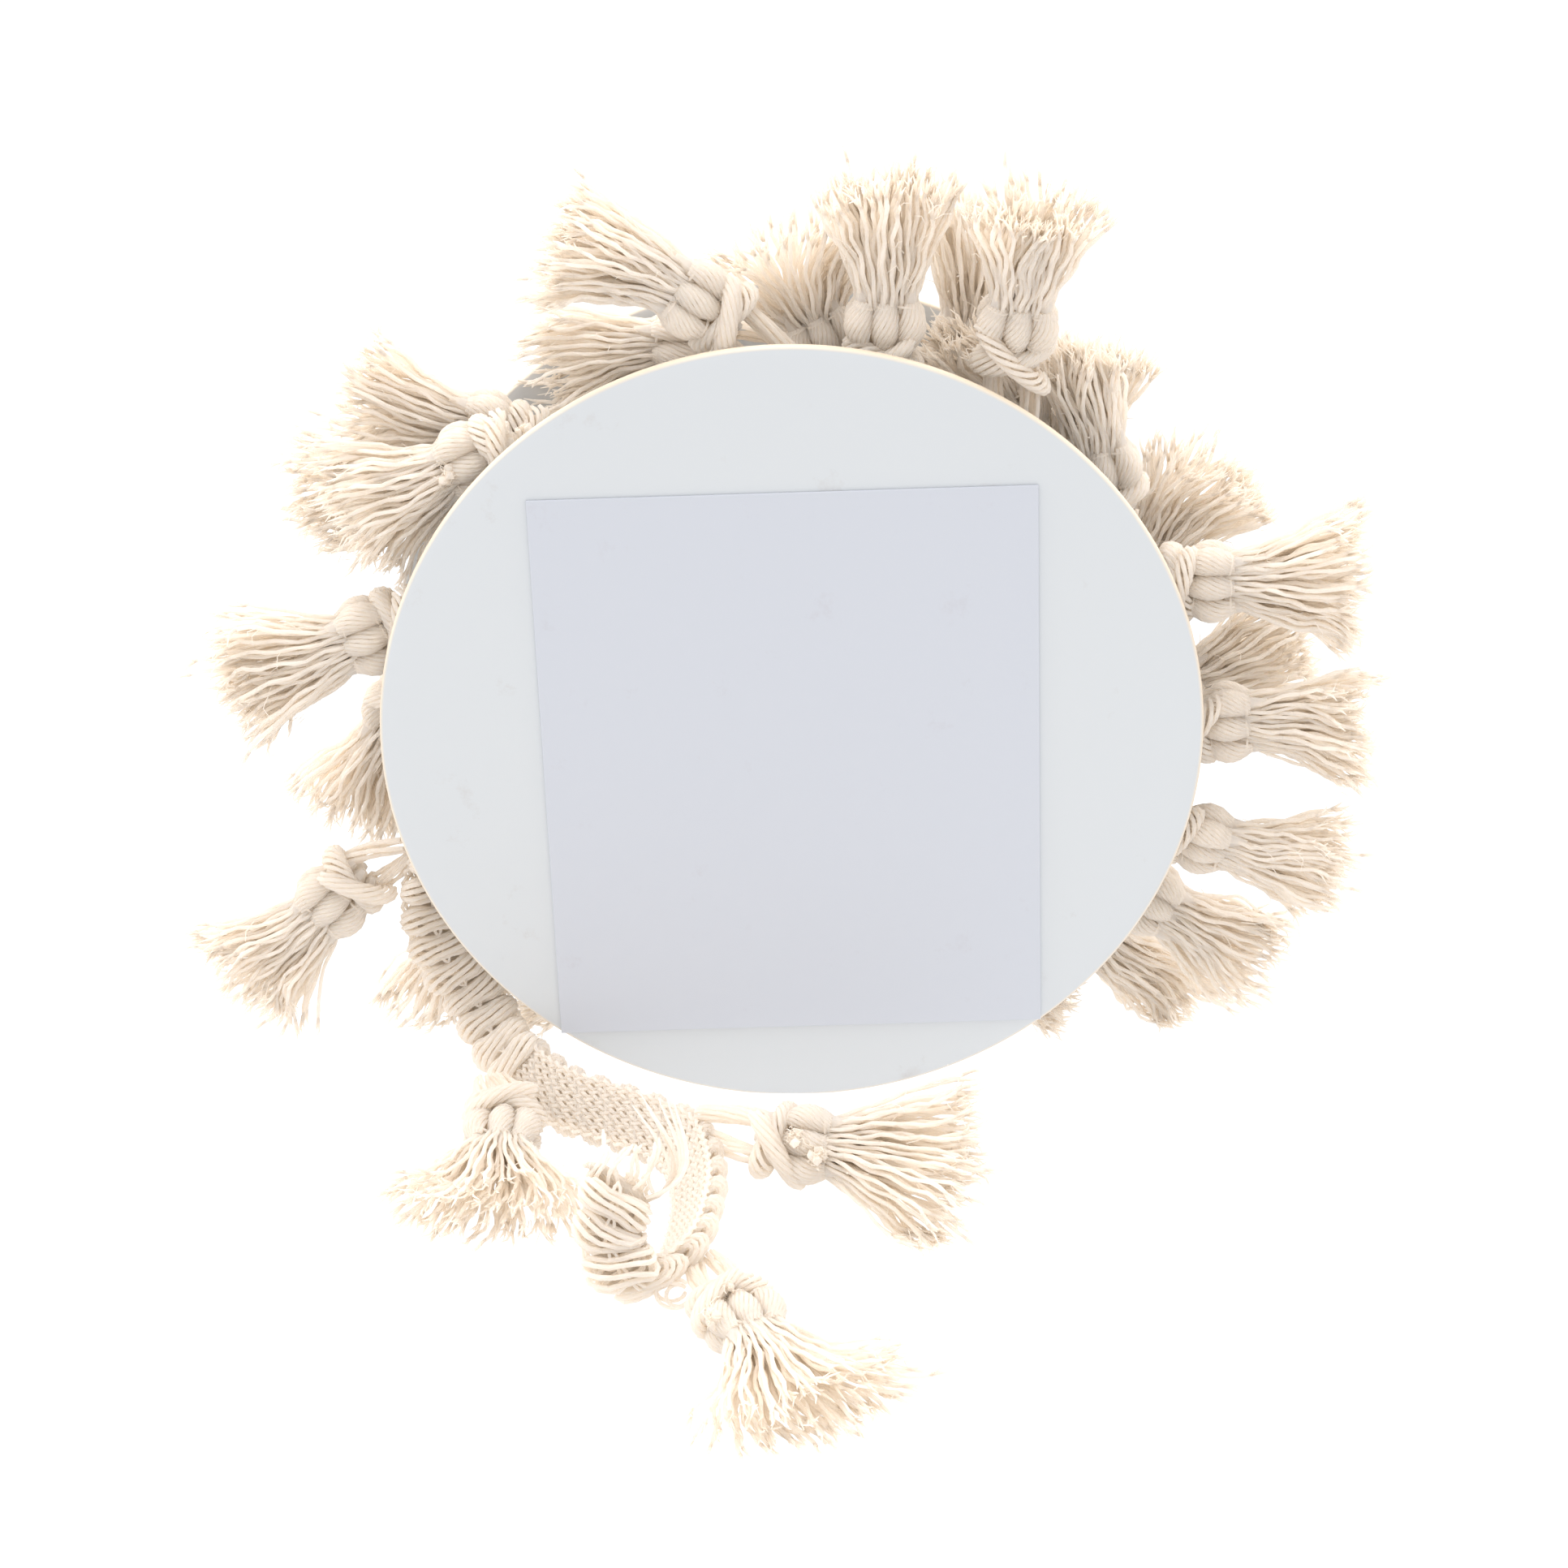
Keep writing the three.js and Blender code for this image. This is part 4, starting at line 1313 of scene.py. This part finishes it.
@dataclass
class WoundRoll:
    """The trim on the reel: the outer turn of the heading on the turns below it.

    Attributes:
        materials: Materials in the order of Yarn.
        rows: Rows of the bundle round each band.
    """

    materials: list[bpy.types.Material]
    rows: int = 62

    def drum(self) -> bpy.types.Object:
        """Inner turns, as one turned shape with the step of each band in its face.

        Returns:
            The drum.
        """
        # Under the outer turn's yarns, and two bands wide
        rim = ROLL_RADIUS - 2.1
        half = HEADING_WIDTH + 0.4
        profile = [(HUB_RADIUS + 0.1, -half), (rim - 0.9, -half), (rim, -half + 1.2), (rim + 0.3, -half / 2),
                   (rim, -1.2), (rim - 0.9, 0.0), (rim, 1.2), (rim + 0.3, half / 2), (rim, half - 1.2),
                   (rim - 0.9, half), (HUB_RADIUS + 0.1, half)]
        shape = turned(profile, closed=True, steps=96)
        bmesh.ops.recalc_face_normals(shape, faces=shape.faces)
        made = object_from(shape, "wound_ground", [self.materials[Yarn.HEAD.value]], METRES)
        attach(made, BODY)
        return made

    def build(self) -> bpy.types.Object:
        """Makes the outer turn: the bundle lies across each band, row by row.

        Returns:
            The wound yarns.
        """
        self.drum()
        band = GimpBand(YarnWork())
        for side in (-1, 1):
            middle = side * (HEADING_WIDTH / 2 + 0.25)
            for row in range(self.rows):
                share = row / self.rows
                degrees = ROLL_EXIT_DEG + 360 * share
                grown = ROLL_RADIUS - HEADING_THICKNESS * (1 - share) - HEADING_THICKNESS / 2
                for yarn in range(band.yarns):
                    lay = 2 * math.pi * yarn / band.yarns
                    points = []
                    for step in range(9):
                        # From edge to edge over the face, and a little further
                        angle = math.pi * (-0.02 + 1.04 * step / 8)
                        across, through, ahead = band.across_section(angle, lay)
                        slip = (ahead + PICOT_PITCH * (step / 8 - 0.5) * 0.5) / ROLL_RADIUS
                        lies_at = degrees + math.degrees(slip)
                        points.append(around_axle(grown + through, lies_at, middle + across))
                    band.work.add(points, GIMP_YARN, Yarn.HEAD)
        made = band.work.build("wound_heading_yarn", self.materials)
        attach(made, BODY)
        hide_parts("wound_heading")
        LOG.info("wound heading: %d faces", len(made.data.polygons))
        return made


@dataclass
class Reel:
    """Round plastic reel: two flanges and a hub, moulded as one, with a small flat to stand on.

    Attributes:
        finish: Finish of the plastic.
        steps: Steps in a full turn.
        edge_round: Radius of a flange's edge.
        edge_band: Width of the flat ring inside the edge.
    """

    finish: MouldedPlasticFinish
    steps: int = 180
    edge_round: float = 0.3
    edge_band: float = 1.5

    def build(self) -> bpy.types.Object:
        """Turns the reel and cuts its flat.

        Returns:
            The reel.
        """
        edge = FLANGE_RADIUS - self.edge_band
        quarter = [math.pi / 2 * step / 4 for step in range(5)]
        arc = [(self.edge_round * (1 - math.sin(angle)), self.edge_round * (1 - math.cos(angle)))
               for angle in quarter]
        near = [(0.0, -OUTER_FACE), (HUB_RADIUS, -OUTER_FACE), (edge, -OUTER_FACE)]
        near += [(FLANGE_RADIUS - falling, -OUTER_FACE + rising) for falling, rising in arc]
        near += [(FLANGE_RADIUS - rising, -INNER_FACE - falling) for falling, rising in arc]
        near += [(edge, -INNER_FACE), (HUB_RADIUS, -INNER_FACE)]
        profile = near + [(radius, -depth) for radius, depth in reversed(near)]
        shape = turned(profile, closed=False, steps=self.steps)
        geom = shape.verts[:] + shape.edges[:] + shape.faces[:]
        bmesh.ops.bisect_plane(shape, geom=geom, plane_co=(0, 0, 0), plane_no=(0, 0, -1), clear_outer=True)
        bmesh.ops.holes_fill(shape, edges=[e for e in shape.edges if e.is_boundary])
        bmesh.ops.recalc_face_normals(shape, faces=shape.faces)
        made = object_from(shape, "moulded_reel", [self.finish.material()], METRES)
        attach(made, BODY)
        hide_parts("reel")
        return made


@dataclass
class Label:
    """Blank paper sticker on the near flange.

    Attributes:
        finish: Finish of the paper.
        width: Width of the sheet.
        height: Height of the sheet.
        thickness: Thickness, a little more than real paper's.
        turn_degrees: How far it is stuck on aslant.
        drop: How far its middle lies below the axle.
        edge_round: Radius of its edges.
        lift: Gap that keeps it from lying in the flange's face.
    """

    finish: PaperFinish
    width: float = 46.0
    height: float = 54.7
    thickness: float = 0.25
    turn_degrees: float = 1.9
    drop: float = 2.95
    edge_round: float = 0.06
    lift: float = 0.02

    def build(self) -> bpy.types.Object:
        """Cuts the sheet and lays it on the flange.

        Returns:
            The label.
        """
        shape = bmesh.new()
        bmesh.ops.create_grid(shape, x_segments=12, y_segments=14, size=0.5)
        bmesh.ops.scale(shape, vec=(self.width, self.height, 1.0), verts=shape.verts)
        upper = bmesh.ops.extrude_face_region(shape, geom=shape.faces[:])["geom"]
        bmesh.ops.translate(shape, verts=[v for v in upper if isinstance(v, bmesh.types.BMVert)],
                            vec=(0, 0, self.thickness))
        bmesh.ops.recalc_face_normals(shape, faces=shape.faces)
        sharp = [e for e in shape.edges if e.calc_face_angle(0) > 1]
        bmesh.ops.bevel(shape, geom=sharp, offset=self.edge_round, segments=2, affect="EDGES", profile=0.5,
                        material=-1)
        upright = Matrix.Rotation(math.pi / 2, 3, "X")
        aslant = Matrix.Rotation(math.radians(-self.turn_degrees), 3, "Y")
        for turn in (upright, aslant):
            bmesh.ops.rotate(shape, verts=shape.verts, matrix=turn)
        bmesh.ops.translate(shape, verts=shape.verts,
                            vec=(0, CHANNEL_MIDDLE - OUTER_FACE - self.lift, AXLE_HEIGHT - self.drop))
        made = object_from(shape, "paper_label", [self.finish.material()], METRES, smooth=False)
        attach(made, BODY)
        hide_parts("label")
        return made


@dataclass
class Studio:
    """White sweep, soft light from above and behind, and the camera of the photograph.

    Attributes:
        lens: Focal length of the lens.
        film: Width of the film.
        elevation_degrees: How far the camera looks down.
        eye: Place of the camera, in metres.
    """

    lens: float = 85.96
    film: float = 36.0
    elevation_degrees: float = 25.6
    eye: tuple[float, float, float] = (-0.000711, -0.314666, 0.183744)

    def sweep(self) -> None:
        """Plain white surface, lit from below as a light table is."""
        shape = bmesh.new()
        bmesh.ops.create_grid(shape, x_segments=1, y_segments=1, size=4.0)
        made = object_from(shape, "white_surface", [])
        material = blank_material("opal acrylic, lit from below")
        place = add_node(material, "TexCoord")
        cloud = add_node(material, "TexNoise", None, Vector=place.outputs["Object"], Scale=2.0)
        tint = add_node(material, "Mix", COLOURS, __0=cloud.outputs["Fac"], __6=linear("202020"),
                        __7=linear("262626"))
        # The lamp below is strongest under the reel and fades from 8 cm to 35 cm away from it
        reach = add_node(material, "VectorMath", {"operation": "LENGTH"}, __0=place.outputs["Object"])
        glow = add_node(material, "MapRange", None, Value=reach.outputs["Value"], From_Min=0.08,
                        From_Max=0.35, To_Min=1.2, To_Max=1.0)
        shader = add_node(material, "BsdfPrincipled", None, Base_Color=tint.outputs[2], Roughness=0.9,
                          Emission_Color=(1, 1, 1, 1), Emission_Strength=glow.outputs[0])
        add_node(material, "OutputMaterial", None, Surface=shader.outputs[0])
        made.data.materials.append(material)

    def light(self, name: str, place: tuple[float, float, float], size: float, power: float) -> None:
        """Square soft box aimed at the reel.

        Args:
            name: Name of the light.
            place: Where it hangs, in metres.
            size: Side of the square, in metres.
            power: Power in watts.
        """
        lamp = bpy.data.lights.new(name, "AREA")
        lamp.size = size
        lamp.energy = power
        made = bpy.data.objects.new(name, lamp)
        made.location = place
        aim = Vector((0, 0.01, 0.035)) - Vector(place)
        made.rotation_euler = aim.to_track_quat("-Z", "Y").to_euler()
        bpy.context.scene.collection.objects.link(made)

    def build(self) -> None:
        """Sets the surface, the lights, the white surround and the camera."""
        self.sweep()
        self.light("back box", (0.25, 0.75, 0.75), 0.7, 3.5)
        self.light("top box", (-0.1, 0.1, 1.0), 0.8, 7.0)
        self.light("left box", (-0.9, 0.1, 0.4), 0.6, 4.0)
        self.light("right box", (0.9, 0.1, 0.4), 0.6, 2.5)
        world = bpy.data.worlds.new("white surround")
        world.use_nodes = True
        surround = world.node_tree.nodes["Background"]
        surround.inputs["Color"].default_value = (1, 1, 1, 1)
        surround.inputs["Strength"].default_value = 1.0
        bpy.context.scene.world = world
        bpy.context.scene.view_settings.view_transform = "Standard"
        data = bpy.data.cameras.new("camera")
        data.lens = self.lens
        data.sensor_width = self.film
        camera = bpy.data.objects.new("camera", data)
        camera.location = self.eye
        camera.rotation_euler = (math.radians(90 - self.elevation_degrees), 0, 0)
        bpy.context.scene.collection.objects.link(camera)
        bpy.context.scene.camera = camera


def main() -> None:
    """Builds the pieces in order."""
    noise.seed_set(NOISE_SEED)
    finishes = (
        CottonFinish("ring-spun cotton yarn, cut", "fffefe", "fffdfb", "ffffff", glow=0.62),
        CottonFinish("ring-spun cotton yarn, plied", "fffefe", "fffdfb", "fffefe", tip_from=0.99, glow=0.52),
        CottonFinish("bleached cotton thread", "ffffff", "fffffe", "ffffff", glow=0.3, deep="fffdfb"),
        CottonFinish("frayed cotton fibre", "ffffff", "fffefd", "ffffff", glow=0.45, deep="fffbf7"),
        SeedFinish("crushed seed coat", "3a2a20", "6b4f38"),
    )
    # In the order of Yarn
    cotton = [finish.material() for finish in finishes]
    Studio().build()
    Reel(MouldedPlasticFinish("moulded polystyrene", "d3d6d9", "ecdcc6", "b4a79e")).build()
    Label(PaperFinish("coated label paper", "cbced6", "b8b1b6")).build()
    WoundRoll(cotton).build()
    LooseEnd(cotton).build()
    for tassel in all_tassels():
        tassel.build(cotton)


if __name__ == "__main__":
    main()
